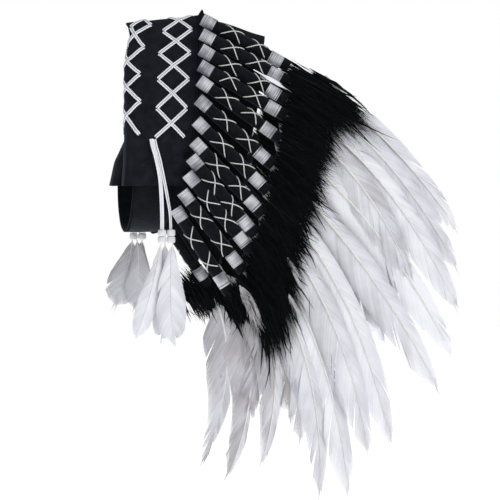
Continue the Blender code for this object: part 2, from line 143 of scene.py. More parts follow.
def bump_by(material, shader, height, strength, depth):
    """Roughens the shader's surface by the height."""
    bump = add_node(material, "Bump", {"Height": height, "Strength": strength, "Distance": depth})
    plug(material, shader, "Normal", bump.outputs["Normal"])


MM = 0.001
print("white as linear light:", linear("#ffffff"))

# %% [markdown]
# ## Studio
# The photo is cut out on white. A pale floor lies well below, and a white sky lights everything
# softly. One large lamp stands above and to the right, where the feathers are brightest, and a weak
# one in front keeps the black felt readable.

# %% Floor, sky and lamps
FLOOR_Z = -0.75
FLOOR_SIZE = 14.0
FLOOR_GLOW = 0.85
SKY_LIGHT = 0.34
KEY_WATTS = 27.0
KEY_SIZE = 1.0
KEY_PLACE = Vector((1.3, -1.5, 1.7))
FILL_WATTS = 4.0
FILL_PLACE = Vector((-1.2, -1.9, 0.1))

floor_material, floor_shader = start_material("pale_floor_paint", Roughness=0.9, Specular_IOR_Level=0.1)
floor_noise = add_node(floor_material, "TexNoise", {"Scale": 6.0, "Detail": 3.0})
colour_by(floor_material, floor_shader, floor_noise.outputs["Fac"], (0.3, "#f6f6f6"), (0.7, "#fbfbfb"))
floor_shader.inputs["Emission Color"].default_value = linear("#ffffff")
floor_shader.inputs["Emission Strength"].default_value = FLOOR_GLOW

floor_mesh = bmesh.new()
bmesh.ops.create_grid(floor_mesh, x_segments=8, y_segments=8, size=FLOOR_SIZE / 2)
bmesh.ops.translate(floor_mesh, verts=floor_mesh.verts, vec=(0, 0, FLOOR_Z))
floor_data = bpy.data.meshes.new("floor")
floor_mesh.to_mesh(floor_data)
floor_mesh.free()
floor_data.materials.append(floor_material)
floor = bpy.data.objects.new("floor", floor_data)
bpy.context.scene.collection.objects.link(floor)

world = bpy.data.worlds.new("white_sky")
bpy.context.scene.world = world
world.use_nodes = True
sky = world.node_tree.nodes["Background"]
sky.inputs["Color"].default_value = linear("#ffffff")
seen = world.node_tree.nodes.new("ShaderNodeLightPath")
level = world.node_tree.nodes.new("ShaderNodeMapRange")
level.inputs["To Min"].default_value = SKY_LIGHT
level.inputs["To Max"].default_value = 1.0
world.node_tree.links.new(seen.outputs["Is Camera Ray"], level.inputs["Value"])
world.node_tree.links.new(level.outputs["Result"], sky.inputs["Strength"])
bpy.context.scene.view_settings.view_transform = "Standard"


def add_lamp(name, place, watts, size):
    data = bpy.data.lights.new(name, "AREA")
    data.energy, data.size = watts, size
    lamp = bpy.data.objects.new(name, data)
    lamp.location = place
    lamp.rotation_euler = (place - VIEW_TARGET).to_track_quat("Z", "Y").to_euler()
    bpy.context.scene.collection.objects.link(lamp)


add_lamp("key_lamp", KEY_PLACE, KEY_WATTS, KEY_SIZE)
add_lamp("fill_lamp", FILL_PLACE, FILL_WATTS, KEY_SIZE)

# %% [markdown]
# ## Black needle felt
# Needle felt is a mat of loose fibres, so it is matt, faintly blue in studio light and fuzzy at
# grazing angles. The sheen gives the fuzz. Fibres are finer than the photo can show, so they are
# drawn half a millimetre long and wide enough to read, with slow patches over them where the mat is
# thicker. The rolled sleeves are the same felt, a little darker.


# %% Felt materials
def make_felt(name, dark, light, patch_mm, fibre_mm):
    material, shader = start_material(
        name, Roughness=0.96, Specular_IOR_Level=0.12, Sheen_Weight=0.22, Sheen_Roughness=0.45,
        Sheen_Tint=linear("#aab4c8"))
    place = add_node(material, "TexCoord").outputs["Object"]
    patches = add_node(material, "TexNoise", {"Vector": place, "Scale": 1 / (patch_mm * MM), "Detail": 4.0})
    stretched = add_node(material, "Mapping", {"Vector": place, "Scale": (1.0, 1.0, 0.35)})
    fibres = add_node(material, "TexNoise", {"Vector": stretched.outputs["Vector"],
                                             "Scale": 1 / (fibre_mm * MM), "Detail": 5.0,
                                             "Roughness": 0.7, "Distortion": 1.4})
    mixed = add_node(material, "Math", {0: patches.outputs["Fac"], 1: fibres.outputs["Fac"]},
                     operation="MULTIPLY")
    colour_by(material, shader, mixed.outputs["Value"], (0.12, dark), (0.42, light))
    bump_by(material, shader, fibres.outputs["Fac"], 0.55, 0.3 * MM)
    return material


band_felt = make_felt("black_needle_felt", "#0a0c10", "#1d2028", 9.0, 0.8)
thin_felt = make_felt("thin_black_needle_felt", "#07090c", "#15181d", 7.0, 0.8)
sleeve_felt = make_felt("rolled_black_needle_felt", "#050608", "#14171c", 5.0, 0.7)
print("felts:", [m.name for m in (band_felt, thin_felt, sleeve_felt)])

# %% [markdown]
# ## Line of the band
# The felt follows a teardrop loop round the head: pinched at the front fold, which is on top as it
# hangs, and widest behind the temples. Its lower edge curls inward. The same few sizes as in the
# plain model give that surface, so lace, sleeves and stitches can be set on it by a distance along
# the band and a share of its width.

# %% The band's surface
LOOP_HALF_HEIGHT = 0.118
LOOP_WIDTH = 0.087
LOOP_PINCH = 0.3
BAND_HALF_LENGTH = 0.197
BAND_LOWER_X = -0.026
BAND_LOWER_DROP = 0.018
BAND_UPPER_X = 0.0555
BAND_UPPER_DROP = 0.053
BAND_UPPER_POWER = 1.6
FOLD_SLANT = 0.0095
FOLD_SLANT_LEVEL = 0.35
# The far side's lower edge lies further back: share of half a turn, share of the tuck
FAR_TUCK = 0.0195
FAR_TUCK_SHARES = ((0.0, 0.0), (0.17, 0.31), (0.33, 0.69), (0.47, 1.0), (0.53, 0.8), (0.6, 0.26),
                   (0.68, 0.0), (1.0, 0.0))
BAND_FELT_WIDTH = 0.105
FELT = 0.003
CURL_FULL = math.radians(55)
# Share of the felt's width, share of the width seen from the side, share of the loop's width
BAND_SECTION = ((0.0, 0.12, 0.50), (0.1, 0.03, 0.62), (0.19, 0.0, 0.77), (0.27, 0.03, 0.90),
                (0.38, 0.15, 0.98), (0.55, 0.42, 1.0), (1.0, 1.0, 1.0))
WALK_STEPS = 360
FAN_SIDES = {"left": -1, "right": 1}
LETTERS = ((-1, "L"), (1, "R"))


def loop_point(angle):
    bulge = LOOP_PINCH + (1 - LOOP_PINCH) * math.sin(angle / 2) ** 2
    return Vector((0, LOOP_WIDTH * math.sin(angle) * bulge, LOOP_HALF_HEIGHT * math.cos(angle)))


loop_angles = np.linspace(0, math.pi, WALK_STEPS + 1)
loop_places = np.array([loop_point(angle) for angle in loop_angles])
loop_distances = np.concatenate(
    ([0.0], np.cumsum(np.linalg.norm(np.diff(loop_places, axis=0), axis=1))))


def walk(distance):
    """The loop's angle at a distance along it from the front fold. The left side is negative."""
    return math.copysign(float(np.interp(abs(distance), loop_distances, loop_angles)), distance)


def upper_x(angle):
    return BAND_UPPER_X - BAND_UPPER_DROP * (abs(angle) / math.pi) ** BAND_UPPER_POWER


def read_table(table, place, column=1):
    """The value at a place in a table whose rows start with their place."""
    rows = np.array(table)
    return float(np.interp(place, rows[:, 0], rows[:, column]))


def lower_x(angle):
    half_turns = abs(angle) / math.pi
    tuck = FAR_TUCK * read_table(FAR_TUCK_SHARES, half_turns) if angle > 0 else 0.0
    return BAND_LOWER_X - BAND_LOWER_DROP * half_turns + tuck


def band_surface(angle, share):
    side_share = read_table(BAND_SECTION, share)
    loop_share = read_table(BAND_SECTION, share, 2)
    point = loop_point(angle)
    curl = min(1.0, abs(angle) / CURL_FULL)
    x_share = share + (side_share - share) * curl
    x = lower_x(angle) + (upper_x(angle) - lower_x(angle)) * x_share
    slant = FOLD_SLANT * (share - FOLD_SLANT_LEVEL) * max(0.0, math.cos(angle)) ** 2
    return Vector((x, point.y * (1 - (1 - loop_share) * curl), point.z + slant))


def band_normal(angle, share):
    turn, step = 0.02, 0.03
    along = band_surface(angle + turn, share) - band_surface(angle - turn, share)
    across = band_surface(angle, share + step) - band_surface(angle, share - step)
    return across.cross(along).normalized()


def band_point(angle, share, lift=0.0):
    return band_surface(angle, share) + band_normal(angle, share) * lift


print("half the loop's length in mm:", round(loop_distances[-1] / MM, 1))

# %% [markdown]
# ## Flat lace
# The lace is a woven tape 4 mm wide with two padded edges and a groove between them, which is the
# fine double line seen in the photo. A grid along the route takes that cross-section, and Solidify
# closes it. Its own UV map runs in centimetres, across and along, so the weave keeps its real size
# wherever the lace turns.

# %% Lace material and one function that lays lace
LACE_WIDTH = 0.004
LACE_THICKNESS = 0.0008
# Share of the half width, share of the thickness
LACE_SECTION = ((-1, 0.15), (-0.8, 0.85), (-0.45, 1.0), (-0.14, 0.75), (0, 0.3), (0.14, 0.75), (0.45, 1.0),
                (0.8, 0.85), (1, 0.15))
WEAVE_MM = 0.7
GROOVE_CM = 0.022

lace_tape, lace_shader = start_material(
    "woven_white_polyester_tape", Roughness=0.62, Specular_IOR_Level=0.35, Sheen_Weight=0.15)
lace_place = add_node(lace_tape, "UVMap", uv_map="lace").outputs["UV"]
lace_slant = add_node(lace_tape, "Mapping", {"Vector": lace_place, "Rotation": (0, 0, math.radians(35))})
lace_weave = add_node(lace_tape, "TexWave", {"Vector": lace_slant.outputs["Vector"],
                                             "Scale": 10 / WEAVE_MM / math.tau * 2, "Distortion": 0.6})
lace_soil = add_noise(lace_tape, 120.0, 3.0)
lace_both = add_node(lace_tape, "Math", {0: lace_weave.outputs["Fac"], 1: lace_soil}, operation="MULTIPLY")
lace_tone = add_node(lace_tape, "ValToRGB", {"Fac": lace_both.outputs["Value"]},
                     stops=((0.0, "#dcdde6"), (0.5, "#fbfbfe")))
lace_sides = add_node(lace_tape, "SeparateXYZ", {"Vector": lace_place})
lace_across = add_node(lace_tape, "Math", {0: lace_sides.outputs["X"]}, operation="ABSOLUTE")
# Painted shade: the middle of the tape, along the groove, is darkened in the colour.
lace_groove_shade = add_node(lace_tape, "ValToRGB", {"Fac": lace_across.outputs["Value"]},
                       stops=((GROOVE_CM, "#8f929c"), (GROOVE_CM * 2.2, "#ffffff")))
lace_colour = add_node(lace_tape, "Mix", {"Factor": 1.0, "A": lace_tone.outputs["Color"],
                                          "B": lace_groove_shade.outputs["Color"]},
                       data_type="RGBA", blend_type="MULTIPLY")
plug(lace_tape, lace_shader, "Base Color", lace_colour.outputs["Result"])
bump_by(lace_tape, lace_shader, lace_weave.outputs["Fac"], 0.5, 0.15 * MM)


def add_lace(bm, places, normals, width=LACE_WIDTH):
    """Adds a flat lace to the mesh along the places, its flat side along the normals."""
    uv = bm.loops.layers.uv.get("lace") or bm.loops.layers.uv.new("lace")
    steps, columns = len(places) - 1, len(LACE_SECTION) - 1
    made = bmesh.ops.create_grid(bm, x_segments=columns, y_segments=steps, size=0.5)["verts"]
    run = [0.0]
    for a, b in zip(places, places[1:]):
        run.append(run[-1] + (b - a).length)
    uv_of = {}
    for vert in made:
        column, row = round((vert.co.x + 0.5) * columns), round((vert.co.y + 0.5) * steps)
        ahead = (places[min(row + 1, steps)] - places[max(row - 1, 0)]).normalized()
        across = ahead.cross(normals[row]).normalized()
        side, height = LACE_SECTION[column]
        vert.co = places[row] + across * side * width / 2 + normals[row] * height * LACE_THICKNESS
        uv_of[vert] = (side * width / 2 * 100, run[row] * 100)
    for face in {face for vert in made for face in vert.link_faces}:
        for loop in face.loops:
            loop[uv].uv = uv_of[loop.vert]
    return made


def add_piece(name, bm, *materials, smooth_deg=50):
    """Makes the mesh an object that rides on the headdress."""
    data = bpy.data.meshes.new(name)
    bm.to_mesh(data)
    bm.free()
    for material in materials:
        data.materials.append(material)
    data.shade_smooth()
    data.set_sharp_from_angle(angle=math.radians(smooth_deg))
    piece = bpy.data.objects.new(name, data)
    bpy.context.scene.collection.objects.link(piece)
    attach(piece, "root")
    return piece


def spin_profile(bm, line, edges, steps, weld):
    """Turns a profile once round the Z axis and welds its seam."""
    bmesh.ops.spin(bm, geom=line + edges, cent=(0, 0, 0), axis=(0, 0, 1), angle=math.tau,
                   steps=steps, use_merge=True)
    bmesh.ops.remove_doubles(bm, verts=bm.verts, dist=weld)


def close_sheet(bm, thickness):
    """Gives the laces in the mesh their underside."""
    bmesh.ops.recalc_face_normals(bm, faces=bm.faces)
    bmesh.ops.solidify(bm, geom=bm.faces[:], thickness=thickness)


print("lace section points:", len(LACE_SECTION))

# %% [markdown]
# ## Hanging laces
# These are the free cords, so they come first. From each temple two laces hang straight down and
# end in the beads' quills. Their routes are the plain model's, point for point. A smooth curve runs
# through them, and the tape turns a little on its way, as a soft lace does under a light weight.

# %% Hanging laces at both temples
HANGING_LACE_WIDTH = 0.0034
CORD_POINT_STEP = 0.011
DROP_FAR_TOP_SHIFT = 0.006
DROP_FAR_SHIFT = -0.010
TAPE_TURN = math.radians(24)
HANGING_LACE_WALL = 0.5 * MM
CORD_ROUTES = {
    "A": ((-0.0081, 0.0612, -0.013), (-0.0070, 0.0636, -0.021), (-0.0038, 0.0660, -0.034),
          (0.0004, 0.0660, -0.055), (0.0020, 0.0660, -0.075), (0.0026, 0.0660, -0.095),
          (0.0026, 0.0660, -0.1225)),
    "B": ((-0.0045, 0.0612, -0.013), (-0.0033, 0.0636, -0.021), (0.0000, 0.0660, -0.034),
          (0.0045, 0.0660, -0.055), (0.0085, 0.0660, -0.075), (0.0117, 0.0660, -0.095),
          (0.0124, 0.0660, -0.1225)),
}


def smooth_line(points, step):
    """Points about a step apart on a smooth curve through the given ones."""
    ends = [points[0] * 2 - points[1], *points, points[-1] * 2 - points[-2]]
    line = []
    for a, b, c, d in zip(ends, ends[1:], ends[2:], ends[3:]):
        count = max(1, round((c - b).length / step))
        for k in range(count):
            t = k / count
            line.append(0.5 * (2 * b + (c - a) * t + (2 * a - 5 * b + 4 * c - d) * t ** 2
                               + (3 * b - a - 3 * c + d) * t ** 3))
    return [*line, points[-1]]


def make_hanging_lace(side, letter, route):
    top, low = (DROP_FAR_TOP_SHIFT, DROP_FAR_SHIFT) if side > 0 else (0.0, 0.0)
    chosen = CORD_ROUTES[route]
    knots = []
    for number, (x, y, z) in enumerate(chosen):
        shift = top + (low - top) * min(1.0, number / (len(chosen) - 2))
        knots.append(Vector((x + shift, side * y, z)))
    line = smooth_line(knots, CORD_POINT_STEP / 4)
    turn = TAPE_TURN * (1 if route == "A" else -1)
    normals = [Vector((math.sin(turn * math.sin(math.tau * k / len(line))), side, 0)).normalized()
               for k in range(len(line))]
    bm = bmesh.new()
    middle = [point - normal * LACE_THICKNESS / 2 for point, normal in zip(line, normals)]
    add_lace(bm, middle, normals, HANGING_LACE_WIDTH)
    close_sheet(bm, HANGING_LACE_WALL)
    piece = add_piece(f"hanging_lace_{letter}{route}", bm, lace_tape)
    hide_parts(f"lace_{letter}{route}")
    length = sum((b - a).length for a, b in zip(line, line[1:]))
    return piece, line, length


for side, letter in LETTERS:
    for route in CORD_ROUTES:
        make_hanging_lace(side, letter, route)

# %% [markdown]
# ## Felt band, rear strap and crown sheet
# Each is a flat piece of felt that bends in one sheet. A grid takes the band's surface, a slow
# noise gives the hand-cut felt its small waves, and Solidify with a fine bevel gives the wall its
# soft cut edge. The crown sheet carries the sleeves: it goes on from the band's upper edge.

# %% Felt sheets
BAND_GRID = (180, 44)
FELT_WAVE = 0.0007
FELT_WAVE_LENGTH = 0.021
FELT_EDGE = 0.0008
FELT_EDGE_DEG = 50


def make_felt_sheet(name, node, material, grid, place, thickness, offset, outside):
    """A felt sheet laid out by place(column share, row share), with its wall on the inner side."""
    bm = bmesh.new()
    bmesh.ops.create_grid(bm, x_segments=grid[0], y_segments=grid[1], size=0.5)
    for vert in bm.verts:
        vert.co = place(vert.co.x + 0.5, vert.co.y + 0.5)
    bmesh.ops.recalc_face_normals(bm, faces=bm.faces)
    facing = sum((face.calc_center_median() - outside).dot(face.normal) for face in bm.faces)
    if facing < 0:
        bmesh.ops.reverse_faces(bm, faces=bm.faces)
    bm.normal_update()
    for vert in bm.verts:
        vert.co += vert.normal * FELT_WAVE * noise.noise(vert.co / FELT_WAVE_LENGTH)
    piece = add_piece(name, bm, material)
    wall = piece.modifiers.new("Wall", "SOLIDIFY")
    wall.thickness, wall.offset = thickness, offset
    edge = piece.modifiers.new("Edge", "BEVEL")
    edge.width, edge.segments, edge.limit_method = FELT_EDGE, 2, "ANGLE"
    edge.angle_limit = math.radians(FELT_EDGE_DEG)
    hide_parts(node)
    return piece


band_end = walk(BAND_HALF_LENGTH)


def place_band(column, row):
    return band_point(band_end * (2 * column - 1), row)


make_felt_sheet("felt_band", "headband", band_felt, BAND_GRID, place_band, FELT, -1.0,
                Vector((0, 0, 0)))

STRAP_FELT = 0.002
STRAP_SEAT = 0.0008
STRAP_TUCK = 0.022
STRAP_WIDTH = 0.044
STRAP_LOWER_X = -0.028
strap_start = walk(BAND_HALF_LENGTH - STRAP_TUCK)


def felt_share(side_share):
    """The share of the felt's width at this side share, above the curl."""
    table = np.array(BAND_SECTION[2:])
    return float(np.interp(side_share, table[:, 1], table[:, 0]))


def place_strap(column, row):
    angle = strap_start + 2 * (math.pi - strap_start) * column
    folded = math.remainder(angle, math.tau)
    x = STRAP_LOWER_X + STRAP_WIDTH * row
    across = felt_share((x - lower_x(folded)) / (upper_x(folded) - lower_x(folded)))
    return band_point(folded, across, -FELT - STRAP_SEAT)


make_felt_sheet("rear_felt_strap", "rear_strap", thin_felt, (80, 14), place_strap,
                STRAP_FELT, -1.0, Vector((0, 0, -LOOP_HALF_HEIGHT / 2)))

# %% [markdown]
# ## Where the sleeves lie
# Twelve sleeves on each side start at the band's upper edge and lean more and more toward the back
# of the head. The lean, the splay and the pitch along the loop give each sleeve's axis.

# %% Sleeve axes
SLEEVES = 12
SLEEVE_RADIUS = 0.0066
SLEEVE_LENGTH = 0.110
SLEEVE_SEAT = 0.0005
SLEEVE_FIRST = 0.0132
SLEEVES_PAST_BAND = 0.0224
COLLAR_THICKNESS = 0.0005
COLLAR_LENGTH = 0.0150
COLLAR_STARTS = (0.0015, 0.0855)
# Where each sleeve lies between a side's first and last, and how far each side's lean below level
SLEEVE_SHARES = (0.0, 0.082, 0.167, 0.254, 0.337, 0.437, 0.553, 0.66, 0.74, 0.822, 0.911, 1.0)
LEAN_DEG = {
    -1: (29, 29, 31, 31, 36, 42, 45, 47, 51, 51, 53, 58),
    1: (30, 31, 33, 34, 36, 38, 40, 42, 44, 47, 51, 56),
}
SPLAY_FIRST_DEG = 9
SPLAY_LAST_DEG = 6
BACKING_LENGTH = 0.076
BACKING_BESIDE_SLEEVES = 0.004
BACKING_SEAT = 0.0015
BACKING_FELT = 0.002
BACKING_CROWDING = 1.4
BACKING_FRONT_LEAN_DEG = 17
sleeve_row = BAND_HALF_LENGTH + SLEEVES_PAST_BAND - SLEEVE_FIRST
sleeve_distances = [SLEEVE_FIRST + sleeve_row * share for share in SLEEVE_SHARES]


def direction(side, lean, splay):
    level = math.cos(splay)
    return Vector((math.cos(lean) * level, side * math.sin(splay), -math.sin(lean) * level))


def lean_and_splay(side, distance):
    share = min(1.0, max(0.0, (abs(distance) - SLEEVE_FIRST) / sleeve_row))
    lean = read_table(list(zip(SLEEVE_SHARES, LEAN_DEG[side])), share)
    splay = SPLAY_FIRST_DEG + (SPLAY_LAST_DEG - SPLAY_FIRST_DEG) * share
    return math.radians(lean), math.radians(splay)


def backing_edge(distance):
    return band_surface(walk(distance), 1.0)


def sleeve_axis(side, distance):
    """A sleeve's start, its heading and the direction out from the crown there."""
    heading = direction(side, *lean_and_splay(side, distance))
    here = side * distance
    seat = (backing_edge(here + FELT) - backing_edge(here - FELT)).cross(heading).normalized()
    if seat.dot(loop_point(walk(here))) < 0:
        seat.negate()
    start = backing_edge(here) + seat * (SLEEVE_RADIUS + COLLAR_THICKNESS + SLEEVE_SEAT)
    return start, heading, seat


def place_crown(column, row):
    turn = 2 * column - 1
    half_length = sleeve_distances[-1] + BACKING_BESIDE_SLEEVES
    distance = half_length * math.copysign(abs(turn) ** BACKING_CROWDING, turn)
    side = -1 if distance < 0 else 1
    lean, splay = lean_and_splay(side, distance)
    beside_fold = min(1.0, abs(distance) / SLEEVE_FIRST)
    splay *= beside_fold
    lean += (math.radians(BACKING_FRONT_LEAN_DEG) - lean) * (1 - beside_fold)
    return (backing_edge(distance) + Vector((BACKING_SEAT, 0, 0))
            + direction(side, lean, splay) * BACKING_LENGTH * row)


make_felt_sheet("crown_felt", "crown_backing", thin_felt, (120, 24), place_crown,
                BACKING_FELT, -1.0, Vector((BAND_UPPER_X, 0, 0)))
print("first sleeve's lean in degrees:", LEAN_DEG[-1][0])

# %% [markdown]
# The sheet's front corner stands up a little behind the first sleeve. It is a small triangle of the
# same felt: a grid whose columns close toward the tip.

# %% The standing corner of the crown sheet
CORNER_ROOT = Vector((0.0500, -0.0060, 0.1190))
CORNER_TIP = Vector((0.0572, -0.0060, 0.1300))
CORNER_ALONG = Vector((0.0130, -0.0020, -0.0035))
CORNER_TIP_WIDTH = 0.1
CORNER_GRID = 6


def make_corner():
    bm = bmesh.new()
    bmesh.ops.create_grid(bm, x_segments=CORNER_GRID, y_segments=CORNER_GRID, size=0.5)
    for vert in bm.verts:
        column, row = vert.co.x + 0.5, vert.co.y + 0.5
        low = CORNER_ROOT + CORNER_ALONG * column
        high = CORNER_TIP + CORNER_ALONG * CORNER_TIP_WIDTH * column
        vert.co = low * (1 - row) + high * row
    bmesh.ops.recalc_face_normals(bm, faces=bm.faces)
    piece = add_piece("crown_felt_corner", bm, thin_felt)
    wall = piece.modifiers.new("Wall", "SOLIDIFY")
    wall.thickness, wall.offset = BACKING_FELT, 0.0
    return piece


print("corner faces:", len(make_corner().data.polygons))

# %% [markdown]
# ## Lacing on the band
# The lace goes through the felt at the tips of the diamonds and crosses between them, so what shows
# is a row of crossed straight runs whose ends dive into small slits. Each run follows the felt. At
# a crossing one run lies over the other.

# %% Two columns of crossed lace
LACE_RUN_STEPS = 18
LACE_LIFT = 0.0005
LACE_OVER = 0.0009
LACE_DIVE = 0.0012
LACE_DIVE_SHARE = 0.04
LACE_OVER_SHARE = 0.16
CROSSED_LACE_WALL = 0.3 * MM
# Distance of a column from the band's upper edge, the width of its diamonds, and, as shares of the
# band's half length, a side's crossings and the tips that end the column
LACING = {
    "lacing_upper": (0.027, 0.036, (0.04, 0.174, 0.319, 0.483, 0.656), 0.735),
    "lacing_lower": (0.078, 0.034, (0.0, 0.115, 0.289, 0.445, 0.614), 0.722),
}
TIP_GAP = 0.0002


def lace_run(centre, before, middle, after, half_width, slant, over):
    """Places and normals of one run from tip to tip across the crossing between them."""
    places, normals = [], []
    for k in range(LACE_RUN_STEPS + 1):
        t = 2 * k / LACE_RUN_STEPS - 1
        share = centre + t * half_width / BAND_FELT_WIDTH
        toward = after - TIP_GAP if t * slant > 0 else before + TIP_GAP
        angle = walk(middle + abs(t) * (toward - middle))
        near_end = max(0.0, (abs(t) - 1 + LACE_DIVE_SHARE) / LACE_DIVE_SHARE)
        lift = LACE_LIFT + over * LACE_OVER * math.exp(-(t / LACE_OVER_SHARE) ** 2) - LACE_DIVE * near_end
        places.append(band_point(angle, share, lift))
        normals.append(band_normal(angle, share))
    return places, normals


for node, (from_upper_edge, diamond, side_crossings, end_share) in LACING.items():
    bm = bmesh.new()
    centre = 1 - from_upper_edge / BAND_FELT_WIDTH
    both_sides = {step * share for share in side_crossings for step in (1, -1)}
    crossings = [BAND_HALF_LENGTH * share for share in sorted(both_sides)]
    between_them = [(a + b) / 2 for a, b in zip(crossings, crossings[1:])]
    tips = [-BAND_HALF_LENGTH * end_share, *between_them, BAND_HALF_LENGTH * end_share]
    for number, (before, middle, after) in enumerate(zip(tips, crossings, tips[1:])):
        for slant in (-1, 1):
            over = 1 if (slant > 0) == (number % 2 == 0) else 0
            add_lace(bm, *lace_run(centre, before, middle, after, diamond / 2, slant, over))
    close_sheet(bm, CROSSED_LACE_WALL)
    piece = add_piece(f"crossed_{node}", bm, lace_tape)
    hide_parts(node)
    print(piece.name, "faces:", len(piece.data.polygons))

# %% [markdown]
# ## Rolled sleeves bound with thread
# A sleeve is a strip of felt rolled into a tube: its free edge leaves a low step along it, and its
# end shows the spiral. White silky thread is wound round it twice, turn by turn. A profile with one
# ridge for each turn is spun round the axis, so the turns are real rings. The second binding leaves
# one dark slit where the thread parts. An attribute keeps the distance along the sleeve, so the
# shader can vary the tone from turn to turn: partly the thread's own tone, partly painted shade in
# the lines between turns.

# %% Thread material
THREAD_TURN_MM = 0.62

thread_wrap, thread_shader = start_material(
    "wound_white_silky_thread", Roughness=0.42, Specular_IOR_Level=0.45, Sheen_Weight=0.25,
    Sheen_Roughness=0.35)
thread_along = add_node(thread_wrap, "Attribute", attribute_name="along_mm")
# The tone that changes from turn to turn is partly the thread's own tone and partly painted shade in the
# lines between turns. The ramp's dark end is painted shade.
thread_turn_tone_and_shade = add_node(thread_wrap, "TexNoise", {"W": thread_along.outputs["Fac"],
                                                  "Scale": 0.5 / THREAD_TURN_MM, "Detail": 3.0,
                                                  "Roughness": 0.75}, noise_dimensions="1D")
thread_grain = add_noise(thread_wrap, 60.0, 1.0)
thread_tone_and_shade = add_node(thread_wrap, "Math", {0: thread_turn_tone_and_shade.outputs["Fac"], 1: thread_grain},
                      operation="MULTIPLY")
colour_by(thread_wrap, thread_shader, thread_tone_and_shade.outputs["Value"],
          (0.13, "#72747c"), (0.23, "#aeafb6"), (0.34, "#d8d8dc"))
bump_by(thread_wrap, thread_shader, thread_grain, 0.3, 0.1 * MM)
print("turns in a binding:", round(COLLAR_LENGTH / MM / THREAD_TURN_MM))

# %% [markdown]
# The profile is a list of stations: distance along the sleeve, radius and whether the stretch is
# thread. Spin turns it once and welds the seam. Then each point is pushed out a little more the
# further round it lies, which makes the free edge of the roll.

# %% Sleeves
SLEEVE_SIDES = 24
ROLL_STEP = 0.0007
THREAD_RIDGE = 0.00022
SLIT_EDGE = 0.00012
SLIT_SHARE = 0.97
SQUEEZE_MM = 0.25
END_DIMPLE = 0.0022
QUILL_HOLE = 0.0019
# Round the tip: share of the dimple's depth, share of the radius
TIP_DIMPLE = ((0.4, 0.45), (0.1, 0.8))
# From the tip, and before or between the bindings: distance, share of the radius
TIP_EDGE = ((0.0006, 0.97),)
BEFORE_TIP = ((0.104, 1.0), (COLLAR_STARTS[1] + COLLAR_LENGTH + 0.0008, 0.95))
BESIDE_BINDING = ((0.001, 0.94), (0.008, 1.02))
BETWEEN_BINDINGS = ((0.062, 1.05), (0.045, 1.06), (0.030, 1.04), (0.0178, 0.96))
SLEEVE_START = ((0.0006, 0.95), (0.0, 0.9), (0.0004, 0.5))
START_HOLE = 0.0016
# The felt's slow waves, and how far each sleeve's noise lies from the next one's
ROLL_WAVE = 0.06
ROLL_WAVE_LENGTH = 0.009
ROLL_WAVE_SHIFT = 0.05
THREAD_SHIFT_MM = 37.0


def sleeve_profile(rng):
    """Stations (along, radius, thread or not) from the tip of the sleeve to its start."""
    tube = SLEEVE_RADIUS
    stations = [(SLEEVE_LENGTH - END_DIMPLE, QUILL_HOLE, False)]
    stations += [(SLEEVE_LENGTH - END_DIMPLE * deep, tube * share, False) for deep, share in TIP_DIMPLE]
    stations += [(SLEEVE_LENGTH - back, tube * share, False) for back, share in TIP_EDGE]
    stations += [(z, tube * share, False) for z, share in BEFORE_TIP]
    for number, low in reversed(list(enumerate(COLLAR_STARTS))):
        turns = round(COLLAR_LENGTH / MM / THREAD_TURN_MM)
        slits = set(rng.choice((2, 3, turns - 3, turns - 2), size=number, replace=False))
        squeeze = rng.uniform(0.0, SQUEEZE_MM) * MM
        for k in range(turns, -1, -1):
            high = low + COLLAR_LENGTH * k / turns
            radius = tube + COLLAR_THICKNESS - squeeze * (k / turns)
            valley = high - COLLAR_LENGTH / turns / 2
            stations.append((high, radius, True))
            if k in slits:
                stations += [(z, tube * SLIT_SHARE, False) for z in (high - SLIT_EDGE, valley)]
            elif k:
                stations.append((valley, radius - THREAD_RIDGE, True))
        if number:
            stations += [(low - back, tube * share, False) for back, share in BESIDE_BINDING]
            stations += [(z, tube * share, False) for z, share in BETWEEN_BINDINGS]
    stations += [(z, tube * share, False) for z, share in SLEEVE_START]
    return [*stations, (START_HOLE, QUILL_HOLE, False)]


def make_sleeve(name, side, distance, seed):
    rng = np.random.default_rng(seed)
    start, heading, seat = sleeve_axis(side, distance)
    stations = sleeve_profile(rng)
    bm = bmesh.new()
    along = bm.verts.layers.float.new("along_mm")
    thread = bm.verts.layers.float.new("thread")
    line = [bm.verts.new((radius, 0, z)) for z, radius, _ in stations]
    for vert, (z, _, wound) in zip(line, stations):
        vert[along] = z / MM + seed * THREAD_SHIFT_MM
        vert[thread] = float(wound)
    edges = [bm.edges.new(pair) for pair in zip(line, line[1:])]
    spin_profile(bm, line, edges, SLEEVE_SIDES, 0.01 * MM)
    caps = [edge for edge in bm.edges if edge.is_boundary]
    bmesh.ops.holes_fill(bm, edges=caps, sides=SLEEVE_SIDES + 2)
    bmesh.ops.recalc_face_normals(bm, faces=bm.faces)
    for face in bm.faces:
        face.material_index = 1 if all(vert[thread] > 0.5 for vert in face.verts) else 0
    for vert in bm.verts:
        turn = (math.atan2(vert.co.y, vert.co.x) + seed) % math.tau / math.tau
        place = Vector((vert.co.x, vert.co.y, vert.co.z + seed * ROLL_WAVE_SHIFT))
        wave = noise.noise(place / ROLL_WAVE_LENGTH)
        if vert[thread] < 0.5:
            push = 1 + ROLL_STEP / SLEEVE_RADIUS * (turn - 0.5) + ROLL_WAVE * wave
            vert.co.x *= push
            vert.co.y *= push
    turned = heading.to_track_quat("Z", "Y").to_matrix().to_4x4()
    turned.translation = start
    bmesh.ops.transform(bm, matrix=turned, verts=bm.verts)
    piece = add_piece(f"rolled_{name}", bm, sleeve_felt, thread_wrap, smooth_deg=70)
    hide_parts(name)
    return piece


sleeve_pieces = []
for side, letter in LETTERS:
    for index, distance in enumerate(sleeve_distances):
        name = f"sleeve_{letter}{index + 1:02d}"
        sleeve_pieces.append(make_sleeve(name, side, distance, index + (40 if side > 0 else 1)))
print("sleeves:", len(sleeve_pieces), "faces in one:", len(sleeve_pieces[0].data.polygons))

